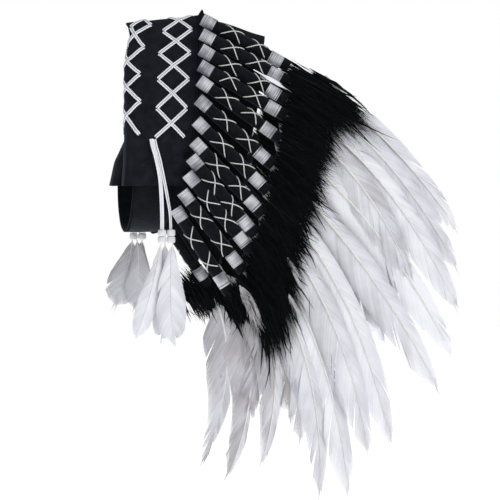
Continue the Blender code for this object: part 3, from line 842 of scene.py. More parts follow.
# %% [markdown]
# ## One mesh from many strips
# Feathers and fluff are thousands of thin parts. Making each one by itself would take minutes, so
# their points are worked out together as arrays, and one mesh is filled from them. A strip is a
# centre line with a half width to each side, and a tube is a centre line with a ring round it. Each
# point also keeps a shade, from 0 to 1, for the colour to vary from strip to strip.


# %% Strips and tubes as arrays
def strip_block(centre, half, shade):
    """Points, faces and shades of many strips. centre and half hold strip, point and xyz."""
    count, length = centre.shape[:2]
    shade = np.broadcast_to(shade.reshape(count, -1), (count, length))
    points = np.stack((centre - half, centre + half), axis=2).reshape(-1, 3)
    first = (np.arange(count)[:, None] * length + np.arange(length - 1)) * 2
    faces = np.stack((first, first + 1, first + 3, first + 2), axis=-1).reshape(-1, 4)
    return points, faces, np.repeat(shade.ravel(), 2)


def tube_block(centre, radius, out, sides, shade):
    """Points, faces and shades of many tubes. out is a direction that isn't along them."""
    count, length = centre.shape[:2]
    ahead = np.gradient(centre, axis=1)
    ahead /= np.linalg.norm(ahead, axis=2, keepdims=True) + 1e-12
    first = np.cross(ahead, out)
    first /= np.linalg.norm(first, axis=2, keepdims=True) + 1e-12
    second = np.cross(first, ahead)
    turns = np.arange(sides) * math.tau / sides
    ring = first[:, :, None] * np.cos(turns)[:, None] + second[:, :, None] * np.sin(turns)[:, None]
    points = (centre[:, :, None] + ring * radius[:, :, None, None]).reshape(-1, 3)
    base = (np.arange(count)[:, None] * length + np.arange(length - 1))[:, :, None] * sides
    here, after = np.arange(sides), (np.arange(sides) + 1) % sides
    faces = np.stack((base + here, base + after, base + sides + after, base + sides + here), axis=-1)
    return points, faces.reshape(-1, 4), np.repeat(shade, length * sides)


def add_joined(name, blocks, materials):
    """One object from blocks (points, faces, shades), each with the number of its material."""
    points = np.concatenate([block[0] for block, _ in blocks]).astype(np.float32)
    offsets = np.cumsum([0] + [len(block[0]) for block, _ in blocks[:-1]])
    faces = np.concatenate([block[1] + start for (block, _), start in zip(blocks, offsets)])
    slots = np.concatenate([np.full(len(block[1]), number) for block, number in blocks])
    shades = np.concatenate([block[2] for block, _ in blocks]).astype(np.float32)
    data = bpy.data.meshes.new(name)
    data.vertices.add(len(points))
    data.vertices.foreach_set("co", points.ravel())
    data.loops.add(faces.size)
    data.loops.foreach_set("vertex_index", faces.ravel().astype(np.int32))
    data.polygons.add(len(faces))
    data.polygons.foreach_set("loop_start", (np.arange(len(faces)) * 4).astype(np.int32))
    data.polygons.foreach_set("material_index", slots.astype(np.int32))
    data.update(calc_edges=True)
    data.attributes.new("shade", "FLOAT", "POINT").data.foreach_set("value", shades)
    for material in materials:
        data.materials.append(material)
    data.shade_smooth()
    piece = bpy.data.objects.new(name, data)
    bpy.context.scene.collection.objects.link(piece)
    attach(piece, "root")
    return piece


print("faces in a strip of six points:", len(strip_block(*np.zeros((2, 1, 6, 3)), np.zeros(1))[1]))

# %% [markdown]
# ## Cross stitches on the sleeves
# Two cross stitches lie on each sleeve between its bindings. One is two threads that lie half round
# the tube on opposite slants. The same curve serves both, with its slant reversed.

# %% Stitches
STITCH_PLACES = (0.037, 0.070)
STITCH_HALF_LENGTH = 0.0115
STITCH_WRAP = math.radians(78)
STITCH_RADIUS = 0.00062
STITCH_POINTS = 15
STITCH_SIDES = 6
# How far the stitches vary, and how they lie on the felt
STITCH_SCATTER_MM = 2.0
STITCH_ROLL = 0.16
STITCH_LENGTHS = (0.8, 1.1)
STITCH_BOW_MM = 1.2
STITCH_WRAPS = (0.85, 1.05)
STITCH_ON_FELT = SLEEVE_RADIUS * 1.06 + STITCH_RADIUS * 0.9
STITCH_END = 0.4

stitch_thread, stitch_shader = start_material("twisted_white_cotton_thread", Roughness=0.7,
                                              Specular_IOR_Level=0.25, Sheen_Weight=0.2)
stitch_grain = add_noise(stitch_thread, 1 / (0.9 * MM), 2.0)
colour_by(stitch_thread, stitch_shader, stitch_grain, (0.3, "#b4b5b4"), (0.65, "#e2e2e0"))
bump_by(stitch_thread, stitch_shader, stitch_grain, 0.4, 0.2 * MM)


def make_stitches(word, side):
    rng = np.random.default_rng(70 + side)
    centres = []
    for distance in sleeve_distances:
        start, heading, seat = sleeve_axis(side, distance)
        beside = heading.cross(seat)
        for place in STITCH_PLACES:
            middle = place + rng.normal(0, STITCH_SCATTER_MM) * MM
            roll = rng.normal(0, STITCH_ROLL)
            for slant in (-1, 1):
                half = STITCH_HALF_LENGTH * rng.uniform(*STITCH_LENGTHS)
                bow = rng.normal(0, STITCH_BOW_MM) * MM
                turn = np.linspace(-1, 1, STITCH_POINTS)
                angle = turn * STITCH_WRAP * rng.uniform(*STITCH_WRAPS) + roll
                along = middle + slant * turn * half + bow * (1 - turn ** 2)
                centres.append(
                    np.array(start) + along[:, None] * np.array(heading)
                    + STITCH_ON_FELT * (np.cos(angle)[:, None] * np.array(seat)
                                        + np.sin(angle)[:, None] * np.array(beside)))
    centres = np.array(centres)
    radii = np.full(centres.shape[:2], STITCH_RADIUS)
    radii[:, (0, -1)] *= STITCH_END
    out = np.broadcast_to(np.array((0.0, side, 0.2)), centres.shape)
    block = tube_block(centres, radii, out, STITCH_SIDES, rng.random(len(centres)))
    piece = add_joined(f"cross_stitches_{word}", [(block, 0)], [stitch_thread])
    return piece


for word, side in FAN_SIDES.items():
    print(word, "stitch faces:", len(make_stitches(word, side).data.polygons))

# %% [markdown]
# ## White feathers
# These are long goose or turkey feathers, bleached white. A feather has a cream quill and two vanes
# of barbs that hook into each other. The leading vane is narrow and the trailing one broad. Where
# the hooks let go, a cleft opens and the loose barbs curl. So every barb is a strip of its own that
# leaves the quill on a slant, and the clefts push the ends of the barbs beside them apart.

# %% Feather materials
vane_white, vane_shader = start_material(
    "bleached_feather_vane", Roughness=0.58, Specular_IOR_Level=0.3, Sheen_Weight=0.25,
    Sheen_Roughness=0.4, Sheen_Tint=linear("#f0f0ff"))
vane_shade = add_node(vane_white, "Attribute", attribute_name="shade")
vane_slow_part = add_node(vane_white, "Math", {0: add_noise(vane_white, 1 / (28 * MM), 2.0), 1: 0.3},
                          operation="MULTIPLY")
vane_mix = add_node(vane_white, "Math", {0: vane_shade.outputs["Fac"], 1: 0.7,
                                         2: vane_slow_part.outputs["Value"]}, operation="MULTIPLY_ADD")
# Painted shade: the shade attribute mixes each feather's own tone with shade painted near the root, toward
# the vane edges and on feathers further back and lower down. The ramp's grey end carries it.
colour_by(vane_white, vane_shader, vane_mix.outputs["Value"],
          (0.15, "#8b8786"), (0.40, "#b4b2b6"), (0.62, "#dddde5"), (0.8, "#f2f2f8"))

quill_cream, quill_shader = start_material(
    "cream_feather_quill", Roughness=0.33, Specular_IOR_Level=0.5, Coat_Weight=0.15)
colour_by(quill_cream, quill_shader, add_noise(quill_cream, 1 / (6 * MM), 3.0),
          (0.3, "#dddcd8"), (0.7, "#efeeed"))
print("feather materials:", vane_white.name, quill_cream.name)

# %% [markdown]
# A feather's quill is a curve with three control points: root, middle and tip. Arrays of shares
# along it give points, headings and the direction across, for all barbs at once.

# %% Quill curve and barbs
BARB_PITCH = 0.0010
BARB_POINTS = 6
BARB_START = 0.15
BARB_END = 0.99
BARB_COVER = 0.68
BARB_LIFT_MM = 0.12
# Share of the feather's length, share of the vane's width there
VANE_OUTLINE = ((0.0, 0.30), (0.10, 0.62), (0.22, 0.86), (0.40, 1.0), (0.62, 1.0), (0.80, 0.90), (0.90, 0.70),
                (0.96, 0.44), (1.0, 0.10))
BARB_SLANT_DEG = ((0.0, 42), (0.4, 28), (0.8, 19), (1.0, 11))
REACH_ROUNDS = 14
REACH_STEP = 0.35
BARB_BOW = 0.20
# Where clefts open, how far along a barb, and how far they part, draw back and lift its end
CLEFT_FIRST = 0.12
CLEFT_LAST = 0.97
CLEFT_FADE = 0.006
CLEFT_DEPTHS = (0.15, 0.7)
CLEFT_POWER = 1.2
CLEFT_OPEN_MM = (1.5, 5.0)
CLEFT_DRAW_MM = (0.0, 1.5)
CLEFT_LIFT_MM = 1.6
VANE_CAMBER = 0.10
BARB_SCATTER = 0.008
BARB_TILT = 0.02
TIP_NARROWING = 0.35
STREAK_BARBS = 9
STREAK_STRENGTH = 0.045
BARB_STRENGTH = 0.045
GROUP_STRENGTH = 0.05
# Painted shade: how much darker the vanes are near the root, under the fluff, and toward their edges, where
# vanes overlap
ROOT_SHADE = 0.20
ROOT_SHADE_END = 0.45
EDGE_SHADE = 0.10
RAGGED = 0.10
QUILL_END = 0.95
QUILL_POINTS = 22
QUILL_SIDES = 6
QUILL_TAPER = 0.85
QUILL_TAPER_POWER = 1.1


def curve_point(root, middle, tip, t):
    """The point at a share t of a curve with three control points."""
    return root * (1 - t) ** 2 + middle * 2 * t * (1 - t) + tip * t ** 2


def curve_frame(curve, share):
    """Points, headings, directions across and directions out at shares along a quill curve."""
    root, middle, tip, out = curve
    t = np.asarray(share)[..., None]
    point = curve_point(root, middle, tip, t)
    heading = (middle - root) * (1 - t) + (tip - middle) * t
    heading = heading / np.linalg.norm(heading, axis=-1, keepdims=True)
    outward = out - heading * (heading @ out)[..., None]
    outward /= np.linalg.norm(outward, axis=-1, keepdims=True)
    return point, heading, np.cross(outward, heading), outward


def vane_block(curve, length, width, sign, rng, clefts, curl, start=BARB_START, tone=0.5,
               outline=VANE_OUTLINE, slants=BARB_SLANT_DEG, ragged=RAGGED):
    """The barbs on one side of a quill. sign is -1 or 1, and clefts counts the gaps."""
    count = int(length * (1 - start) / BARB_PITCH)
    share = np.linspace(start, BARB_END, count)
    outline = np.array(outline)
    outline[1:-1, 1] *= rng.uniform(1 - ragged, 1 + ragged, len(outline) - 2)
    slants = np.array(slants)
    slant = np.radians(np.interp(share, slants[:, 0], slants[:, 1]))
    reach = width * np.interp(share, outline[:, 0], outline[:, 1])
    for _ in range(REACH_ROUNDS):
        end = np.minimum(1.0, share + reach / np.tan(slant) / length)
        wanted = width * np.interp(end, outline[:, 0], outline[:, 1])
        reach += REACH_STEP * (wanted - reach)
    reach *= rng.normal(1, BARB_SCATTER, count)
    u = np.linspace(0, 1, BARB_POINTS)
    bow = BARB_BOW * u * (1 - u)
    across = reach[:, None] * (u + bow)
    ahead = (reach / np.tan(slant))[:, None] * (u - bow)
    places = np.sort(rng.uniform(start + CLEFT_FIRST, CLEFT_LAST, clefts))
    lift = np.zeros_like(across)
    for place in places:
        away = (share - place) * length
        fall = np.exp(-np.abs(away) / CLEFT_FADE)[:, None]
        depth = rng.uniform(*CLEFT_DEPTHS)
        loose = np.clip((u - depth) / (1 - depth), 0, 1) ** CLEFT_POWER
        ahead += np.sign(away)[:, None] * fall * loose * rng.uniform(*CLEFT_OPEN_MM) * MM
        across -= fall * loose * rng.uniform(*CLEFT_DRAW_MM) * MM
        lift += fall * loose * rng.normal(0, CLEFT_LIFT_MM) * MM
    group = np.searchsorted(places, share)
    lift += (rng.normal(0, curl, clefts + 1)[group])[:, None] * u ** 2
    lift -= VANE_CAMBER * width * (across / width) ** 2
    lift += rng.normal(0, BARB_LIFT_MM * MM, count)[:, None] * u
    at = share[:, None] + ahead / length
    point, heading, side_way, outward = curve_frame(curve, at)
    centre = point + sign * side_way * across[..., None] + outward * lift[..., None]
    tilt = (rng.normal(0, BARB_TILT, count) + BARB_TILT * (np.arange(count) % 2 * 2 - 1))[:, None, None]
    narrow = 1 - TIP_NARROWING * u ** 6
    half = (heading * np.cos(tilt) + outward * np.sin(tilt)) * (BARB_PITCH * BARB_COVER * narrow)[:, None]
    knots = np.arange(0, count + STREAK_BARBS, STREAK_BARBS)
    streaks = np.interp(np.arange(count), knots, rng.normal(0, STREAK_STRENGTH, len(knots)))
    # Tone, streaks and barb and group variation are the feather's own. The root and edge terms are painted
    # shade.
    shade = (tone + streaks + rng.normal(0, BARB_STRENGTH, count)
             + rng.normal(0, GROUP_STRENGTH, clefts + 1)[group]
             - ROOT_SHADE * np.clip(1 - share / ROOT_SHADE_END, 0, 1))
    shade = np.clip(shade[:, None] - EDGE_SHADE * u ** 3, 0, 1)
    return strip_block(centre, half, shade)


def quill_block(curve, radius, rise):
    """A tapered quill that stands a little proud of the vanes."""
    share = np.linspace(0.0, QUILL_END, QUILL_POINTS)
    point, _, _, outward = curve_frame(curve, share)
    centre = (point + outward * rise)[None]
    taper = (radius * (1 - QUILL_TAPER * share ** QUILL_TAPER_POWER))[None]
    return tube_block(centre, taper, outward[None], QUILL_SIDES, np.full(1, 0.5))


print("barbs on one side of a 280 mm feather:", int(0.28 * (1 - BARB_START) / BARB_PITCH))

# %% [markdown]
# ## The fan
# Each sleeve holds one long feather. Its length and the way its tip hangs are read off the photo,
# sleeve by sleeve, and are the same shares as in the plain model. Neighbours lie in different
# layers, four in turn. Shorter feathers behind fill the gaps.

# %% Plumes
GAP = 0.0003
PLUME_LENGTH = 0.300
PLUME_SPLAY = math.radians(7)
PLUME_SHARES = {
    -1: (0.85, 0.91, 0.97, 0.74, 1.0, 1.0, 1.0, 0.92, 0.98, 0.89, 0.68, 0.64),
    1: (0.78, 0.86, 0.92, 0.80, 0.95, 0.90, 0.96, 0.88, 0.90, 0.86, 0.78, 0.69),
}
PLUME_SWEEP_DEG = {
    -1: (44, 48, 51, 53, 52, 54, 65, 67, 71, 75, 86, 92),
    1: (45, 47, 50, 53, 56, 59, 62, 66, 71, 78, 85, 90),
}
PLUME_BEND = 0.45
VANE_WIDTHS = (0.0135, 0.0225)
VANES_VARY = (0.92, 1.08)
VANE_CURL_MM = 1.2
VANE_CLEFTS = (2, 6)
LAYERS = 4
LAYER_STEP = 0.0024
QUILL_ROOT_RADIUS = 0.0019
QUILL_IN_SLEEVE = 0.004
QUILL_RISE_MM = 0.6
# How bright each sleeve's feather is, and the ones behind: partly the feathers' own grey-beige tone, partly
# painted shade on the lower feathers and on the feathers behind
PLUME_TONES_AND_SHADE = (0.78, 0.66, 0.84, 0.62, 0.86, 0.74, 0.82, 0.64, 0.74, 0.58, 0.54, 0.50)
TONES_VARY = 0.05
BACK_TONE_AND_SHADE = 0.48
BACK_TONES_VARY = 0.08
BACK_LENGTHS = (0.56, 0.74)
BACK_SWEEP_DEG = (1.5, 3.5)
BACK_LAYER = -0.006
BACK_WIDTHS = (0.75, 0.95)
BACK_CURL_MM = 1.6
BACK_CLEFTS = 5
BACK_QUILL = 0.6
BACK_QUILL_RISE_MM = 0.4
LAST_BROADER = 1.2
LAST_FEATHERS = 3
# The last feathers hang nearly straight down, broad at the top and narrow below
LAST_OUTLINE = ((0.0, 0.5), (0.2, 1.0), (0.4, 1.0), (0.6, 0.78), (0.8, 0.52), (0.92, 0.36), (1.0, 0.08))
# Slips of pale down that show on the fluff: place in the row, first and last distance, half width
PALE_DOWN = ((10.55, 0.004, 0.070, 0.0026), (10.40, 0.020, 0.062, 0.0012), (10.70, 0.012, 0.050, 0.0010),
             (7.5, 0.050, 0.082, 0.0010), (7.65, 0.062, 0.095, 0.0008), (8.6, 0.070, 0.105, 0.0010))
PALE_DOWN_OUT = 0.017
PALE_DOWN_HAIRS = 70
PALE_DOWN_HAIR = 0.00024
PALE_DOWN_STARTS = (0, 0.6)
PALE_DOWN_SPANS = (0.2, 0.4)
PALE_DOWN_RISE_MM = (-2, 2)
PALE_DOWN_TONES = (0.25, 0.6)
# The first feathers' vanes begin late, where the fluff ends
FIRST_FEATHERS = 2
FIRST_START = 0.36
# A loose white slip lies between the near side's second and third sleeve: distance along them, half width
SLIP = ((0.066, 0.0006), (0.078, 0.0010), (0.086, 0.0026), (0.098, 0.0026), (0.106, 0.0014), (0.117, 0.0012))
SLIP_HEIGHT = 0.0035


def plume_curve(side, index, length_share=1.0, sweep_more=0.0, layer=0.0):
    start, heading, _ = sleeve_axis(side, sleeve_distances[index])
    length = PLUME_LENGTH * PLUME_SHARES[side][index] * length_share
    root = start + heading * (SLEEVE_LENGTH + GAP)
    sweep = math.radians(PLUME_SWEEP_DEG[side][index] + sweep_more)
    tip = root + direction(side, sweep, PLUME_SPLAY) * length
    middle = root + heading * length * PLUME_BEND
    out = np.array((0.0, side, 0.0))
    shift = out * layer
    hidden = np.array(root) - np.array(heading) * QUILL_IN_SLEEVE
    return (hidden, np.array(middle) + shift, np.array(tip) + shift, out), length


def fan_curves(side):
    """The fan's curves as one array: index, control point and xyz."""
    return np.array([plume_curve(side, index)[0][:3] for index in range(SLEEVES)])


def between(curves, place):
    """Control points at fractional places along the row of curves, past its ends too."""
    low = np.clip(np.floor(place).astype(int), 0, SLEEVES - 2)
    part = (place - low)[:, None, None]
    return curves[low] * (1 - part) + curves[low + 1] * part


def pale_slip(curve, rng, half_width):
    """Fine pale hairs that lie along a short curve."""
    begin = rng.uniform(*PALE_DOWN_STARTS, PALE_DOWN_HAIRS)[:, None]
    span = rng.uniform(*PALE_DOWN_SPANS, PALE_DOWN_HAIRS)[:, None]
    u = np.linspace(0, 1, BARB_POINTS)
    point, _, across, outward = curve_frame(curve, begin + u * span)
    aside = rng.normal(0, half_width, PALE_DOWN_HAIRS)[:, None] * (0.4 + u)
    rise = rng.uniform(*PALE_DOWN_RISE_MM, PALE_DOWN_HAIRS)[:, None, None] * MM
    half = across * (PALE_DOWN_HAIR * (1 - 0.7 * u ** 2))[None, :, None]
    return strip_block(point + across * aside[..., None] + outward * rise, half,
                       rng.uniform(*PALE_DOWN_TONES, PALE_DOWN_HAIRS))


def make_plumes(word, side):
    rng = np.random.default_rng(11 if side < 0 else 12)
    blocks = []
    for index in range(SLEEVES):
        curve, length = plume_curve(side, index, layer=LAYER_STEP * (index % LAYERS - (LAYERS - 1) / 2))
        for sign in (-1, 1):
            width = VANE_WIDTHS[0 if sign == -side else 1] * rng.uniform(*VANES_VARY)
            last = index >= SLEEVES - LAST_FEATHERS
            width *= LAST_BROADER if last else 1.0
            clefts = int(rng.integers(*VANE_CLEFTS))
            blocks.append((vane_block(curve, length, width, sign, rng, clefts, VANE_CURL_MM * MM,
                                      start=FIRST_START if index < FIRST_FEATHERS else BARB_START,
                                      tone=PLUME_TONES_AND_SHADE[index] + rng.normal(0, TONES_VARY),
                                      outline=LAST_OUTLINE if last else VANE_OUTLINE), 0))
        blocks.append((quill_block(curve, QUILL_ROOT_RADIUS, QUILL_RISE_MM * MM), 1))
    for index in range(SLEEVES - 1):
        curve, length = plume_curve(side, index, length_share=rng.uniform(*BACK_LENGTHS),
                                    sweep_more=rng.uniform(*BACK_SWEEP_DEG), layer=BACK_LAYER)
        for sign in (-1, 1):
            width = VANE_WIDTHS[1] * rng.uniform(*BACK_WIDTHS)
            blocks.append((vane_block(curve, length, width, sign, rng, BACK_CLEFTS, BACK_CURL_MM * MM,
                                      tone=BACK_TONE_AND_SHADE + rng.normal(0, BACK_TONES_VARY)), 0))
        blocks.append((quill_block(curve, QUILL_ROOT_RADIUS * BACK_QUILL, BACK_QUILL_RISE_MM * MM), 1))
    curves = fan_curves(side)
    for place, first, last, half_width in PALE_DOWN:
        root, middle, tip = between(curves, np.array([place]))[0]
        reach = np.linalg.norm(tip - root)
        ends = [curve_point(root, middle, tip, t)
                for t in (first / reach, (first + last) / 2 / reach, last / reach)]
        out = np.array((0.0, side, 0.0))
        curve = (*(end + out * PALE_DOWN_OUT for end in ends), out)
        blocks.append((pale_slip(curve, rng, half_width), 0))
    if side < 0:
        axes = [sleeve_axis(side, distance) for distance in sleeve_distances[1:3]]
        start, heading, seat = ((a + b) / 2 for a, b in zip(*axes))
        centre = np.array([start + heading * along + seat * SLIP_HEIGHT for along, _ in SLIP])
        half = np.array([seat.cross(heading).normalized() * wide for _, wide in SLIP])
        blocks.append((strip_block(centre[None], half[None], np.ones(1)), 0))
    piece = add_joined(f"white_feathers_{word}", blocks, [vane_white, quill_cream])
    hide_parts(f"plumes_{word}")
    return piece


for word, side in FAN_SIDES.items():
    print(word, "feather faces:", len(make_plumes(word, side).data.polygons))

# %% [markdown]
# ## Black fluff
# The roots of the feathers are wrapped in marabou: soft black down whose fine barbs clump into locks
# and end in wisps. Hair by hair it is still thin strips, so it is made as arrays too. A hair starts
# near a sleeve's end, follows the feather's curve for a while and is drawn to the tip of its lock.
# Wider strips underneath close the coat, as the down next to the quill does.

# %% Fluff
FLUFF_LENGTH = 0.135
FLUFF_SHARES = (0.88, 0.76, 0.62, 0.54, 0.52, 0.60, 0.58, 0.57, 0.64, 0.74, 0.87, 0.40)
HAIR_POINTS = 6
# Undercoat and hairs: count, half width, pull to the lock's line, nearest and furthest out
COATS = ((1800, 0.0019, 0.3, -0.003, 0.009), (17000, 0.00026, 0.5, -0.005, 0.016))
HAIR_TURN = 1.2
HAIR_TAPER = ((0, 0.2, 0.5, 1), (0.1, 1, 0.8, 0.05))
LOCKS = 130
LOCK_OUT = (-0.004, 0.012)
LOCK_SIDE = 0.006
LOCK_LENGTHS = (0.82, 1.06)
LOCK_WIDTH = 0.45
WISP_SHARE = 0.14
WISP_LENGTHS = (1.05, 1.4)
# Where hairs end and start, as shares of the fluff's length there
HAIR_ENDS = (0.6, 1.0)
HAIR_STARTS = (-0.03, 0.5)
SHORTEST_HAIR = 0.012
HAIR_SPREAD = 0.004
FIRST_PLACE = 0.0
LAST_PLACE = SLEEVES - 0.7
# Place in the row and how much longer or shorter its locks are there: a tongue between two notches
LOBES = ((0.0, 1.0), (9.2, 1.0), (9.5, 0.85), (9.8, 1.02), (10.3, 1.04), (10.6, 0.62), (11.0, 0.85))
HAIR_WAVE = 0.0026
HAIR_WAVES = (3, 9)
# The far side's last locks begin beside their sleeve and fill the corner below it, and the first locks
# begin on the sleeve's end
CORNER_PLACE = 10.3
CORNER_BACK = 0.050
CORNER_SIDE = 0.024
FRONT_PLACE = 1.2
FRONT_BACK = 0.010

fluff_black, fluff_shader = start_material(
    "dyed_black_marabou_down", Roughness=0.65, Specular_IOR_Level=0.1)
fluff_shade = add_node(fluff_black, "Attribute", attribute_name="shade")
# Most hairs are near black. The lighter ones are partly the down's own tone, partly painted bluish
# highlights.
colour_by(fluff_black, fluff_shader, fluff_shade.outputs["Fac"],
          (0.0, "#010203"), (0.6, "#04070a"), (1.0, "#1b2027"))


def hair_paths(side, curves, rng, count, lock_pull, out_low, out_high):
    lock_place = rng.uniform(FIRST_PLACE, LAST_PLACE, LOCKS)
    lock_out = rng.uniform(*LOCK_OUT, LOCKS)
    lock_side = rng.normal(0, LOCK_SIDE, LOCKS)
    lock_long = rng.uniform(*LOCK_LENGTHS, LOCKS)
    lock = rng.integers(0, LOCKS, count)
    place = lock_place[lock] + rng.normal(0, LOCK_WIDTH, count)
    over, under = np.maximum(place - LAST_PLACE, 0), np.maximum(FIRST_PLACE - place, 0)
    place = place - 2 * over + 2 * under
    lobes = np.array(LOBES)
    shares = np.interp(place, np.arange(SLEEVES), FLUFF_SHARES)
    shares = shares * np.interp(place, lobes[:, 0], lobes[:, 1])
    wisp = np.where(rng.random(count) < WISP_SHARE, rng.uniform(*WISP_LENGTHS, count), 1.0)
    last = FLUFF_LENGTH * shares * lock_long[lock] * rng.uniform(*HAIR_ENDS, count) * wisp
    first = FLUFF_LENGTH * shares * rng.uniform(*HAIR_STARTS, count)
    corner = np.clip(place - CORNER_PLACE, 0, 1) * (side > 0)
    first -= CORNER_BACK * corner * rng.random(count)
    first -= FRONT_BACK * (place < FRONT_PLACE) * rng.random(count)
    last = np.maximum(last, first + SHORTEST_HAIR)
    control, lock_control = between(curves, place), between(curves, lock_place[lock])
    reach = np.linalg.norm(control[:, 2] - control[:, 0], axis=1)
    u = np.linspace(0, 1, HAIR_POINTS)
    at = ((first[:, None] + u * (last - first)[:, None]) / reach[:, None])[..., None]

    def along(points):
        return curve_point(points[:, None, 0], points[:, None, 1], points[:, None, 2], at)

    own, drawn = along(control), along(lock_control)
    pull = (lock_pull * u ** 1.5)[None, :, None]
    path = own * (1 - pull) + drawn * pull
    heading = np.gradient(path, axis=1)
    heading /= np.linalg.norm(heading, axis=2, keepdims=True)
    out = np.array((0.0, side, 0.0))
    across = np.cross(out, heading)
    spread = rng.normal(0, HAIR_SPREAD, count)[:, None] * (1 - 0.5 * u)
    spread = spread + lock_side[lock][:, None] * u ** 1.5
    outward = (rng.uniform(out_low, out_high, count)[:, None] * np.sin(np.pi * np.clip(0.25 + 0.6 * u, 0, 1))
               + lock_out[lock][:, None] * u)
    spread += (side * CORNER_SIDE * corner * rng.random(count))[:, None]
    phase = rng.uniform(0, math.tau, count)[:, None]
    wave = HAIR_WAVE * np.sin(phase + u * rng.uniform(*HAIR_WAVES, count)[:, None]) * u
    path = path + across * (spread + wave)[..., None] + out * outward[..., None]
    return path, heading, across, out


def make_fluff(word, side):
    rng = np.random.default_rng(31 if side < 0 else 32)
    curves = fan_curves(side)
    blocks = []
    for count, half_width, pull, out_low, out_high in COATS:
        path, heading, across, out = hair_paths(side, curves, rng, count, pull, out_low, out_high)
        turn = rng.uniform(-HAIR_TURN, HAIR_TURN, count)[:, None, None]
        taper = half_width * np.interp(np.linspace(0, 1, HAIR_POINTS), *HAIR_TAPER)
        half = (across * np.cos(turn) + out * np.sin(turn)) * taper[:, None]
        blocks.append((strip_block(path, half, rng.random(count) ** 2), 0))
    piece = add_joined(f"black_fluff_{word}", blocks, [fluff_black])
    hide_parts(f"fluff_{word}")
    return piece


for word, side in FAN_SIDES.items():
    print(word, "fluff faces:", len(make_fluff(word, side).data.polygons))

# %% [markdown]
# ## Pony beads
# Moulded barrel beads, 9 mm across with a wide bore, in glossy opaque white plastic. A rounded
# profile is spun once round the bore. Two sit on each hanging lace.

# %% Beads
BEAD_RADIUS = 0.0046
BEAD_BORE = 0.0021
BEAD_SIDES = 28
BEAD_RIM_GAP = 0.0003
# From the rim to the belly: share of the radius, share of half the height
BEAD_ARC = ((0.74, 1.0), (0.88, 0.90), (0.965, 0.66), (1.0, 0.3), (1.0, 0.0))
BEAD_BORE_END = 0.86

bead_white, bead_shader = start_material(
    "moulded_white_polystyrene", Roughness=0.16, Specular_IOR_Level=0.5, Subsurface_Weight=0.12,
    Subsurface_Scale=1.0 * MM, Coat_Weight=0.3, Coat_Roughness=0.08)
colour_by(bead_white, bead_shader, add_noise(bead_white, 1 / (3 * MM), 2.0),
          (0.3, "#d6d6da"), (0.7, "#e4e4e8"))


def make_bead(node):
    low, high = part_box(node)
    centre, half = (low + high) / 2, (high.z - low.z) / 2
    arc = [(BEAD_BORE + BEAD_RIM_GAP, 1.0), *((BEAD_RADIUS * share, height) for share, height in BEAD_ARC)]
    outer = arc + [(radius, -height) for radius, height in reversed(arc[:-1])]
    section = outer + [(BEAD_BORE, height) for height in (-BEAD_BORE_END, 0.0, BEAD_BORE_END)]
    bm = bmesh.new()
    line = [bm.verts.new((radius, 0, height * half)) for radius, height in section]
    edges = [bm.edges.new(pair) for pair in zip(line, line[1:] + line[:1])]
    spin_profile(bm, line, edges, BEAD_SIDES, 0.005 * MM)
    bmesh.ops.recalc_face_normals(bm, faces=bm.faces)
    bmesh.ops.translate(bm, verts=bm.verts, vec=centre)
    piece = add_piece(f"pony_{node}", bm, bead_white, smooth_deg=60)
    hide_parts(node)
    return piece


beads = {letter + route: [make_bead(f"bead_{letter}{route}{number}") for number in (1, 2)]
         for letter in "LR" for route in CORD_ROUTES}
print("beads:", sum(len(pair) for pair in beads.values()))

# %% [markdown]
# ## Temple feathers
# Three short soft feathers hang from the beads on each side. They are the same kind of feather as
# the long ones, but broad and round, and their two vanes are alike.

# %% Drop feathers
DROP_FEATHER_TOP_Z = -0.1248
DROP_FAR_LENGTH_SHARE = 0.72
# How bright the temple feathers are: the near side's value is their own tone, and the far side's lower value
# is painted shade, as they hang behind the band
DROP_TONES_AND_SHADE = {-1: 0.80, 1: 0.62}
# How much broader each one is on the near and on the far side
DROP_BROADER = {-1: (0.9, 1.2, 1.45), 1: (1.5, 1.35, 1.2)}
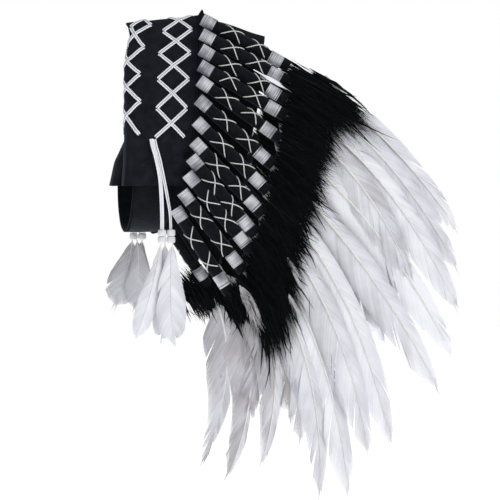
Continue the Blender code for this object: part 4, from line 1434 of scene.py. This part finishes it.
# A small soft feather is narrow at its root and broadest near its round end
DROP_OUTLINE = ((0.0, 0.10), (0.15, 0.34), (0.35, 0.72), (0.55, 0.96), (0.72, 1.0), (0.85, 0.86),
                (0.94, 0.58), (1.0, 0.12))
DROP_SLANT_DEG = ((0.0, 30), (0.5, 34), (0.8, 34), (0.93, 24), (1.0, 8))
# Their clefts, curl, first barb, ragged edge, bend, and quill's radius and height
DROP_CLEFTS = 1
DROP_CURL_MM = 0.8
DROP_START = 0.03
DROP_RAGGED = 0.03
DROP_BEND = 0.006
DROP_QUILL_MM = 0.7
DROP_QUILL_RISE_MM = 0.3
# Root X, outward Y, length, half width, lean of the tip to the left in degrees
DROP_FEATHERS = ((0.0012, 0.0668, 0.104, 0.0125, 15), (0.0060, 0.0628, 0.106, 0.0110, 2),
                 (0.0132, 0.0708, 0.108, 0.0115, -1))


def make_drop_feather(letter, side, number, root_x, root_y, length, half_width, lean_deg):
    rng = np.random.default_rng(90 + number + (10 if side > 0 else 0))
    shift = DROP_FAR_SHIFT if side > 0 else 0.0
    length *= DROP_FAR_LENGTH_SHARE if side > 0 else 1.0
    lean = math.radians(lean_deg)
    root = np.array((root_x + shift, side * root_y, DROP_FEATHER_TOP_Z))
    tip = root + length * np.array((-math.sin(lean), 0, -math.cos(lean)))
    middle = (root + tip) / 2 + np.array((DROP_BEND * math.copysign(1, lean), 0, 0))
    curve = (root, middle, tip, np.array((0.0, side, 0.0)))
    width = half_width * DROP_BROADER[side][number - 1]
    blocks = [(vane_block(curve, length, width, sign, rng, DROP_CLEFTS, DROP_CURL_MM * MM, DROP_START,
                          DROP_TONES_AND_SHADE[side], DROP_OUTLINE, DROP_SLANT_DEG, DROP_RAGGED), 0)
              for sign in (-1, 1)]
    blocks.append((quill_block(curve, DROP_QUILL_MM * MM, DROP_QUILL_RISE_MM * MM), 1))
    piece = add_joined(f"temple_feather_{letter}{number}", blocks, [vane_white, quill_cream])
    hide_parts(f"drop_feather_{letter}{number}")
    return piece


drop_feathers = {
    letter: [make_drop_feather(letter, side, number, *sizes)
             for number, sizes in enumerate(DROP_FEATHERS, start=1)]
    for side, letter in LETTERS
}
print("temple feathers:", sum(len(group) for group in drop_feathers.values()))
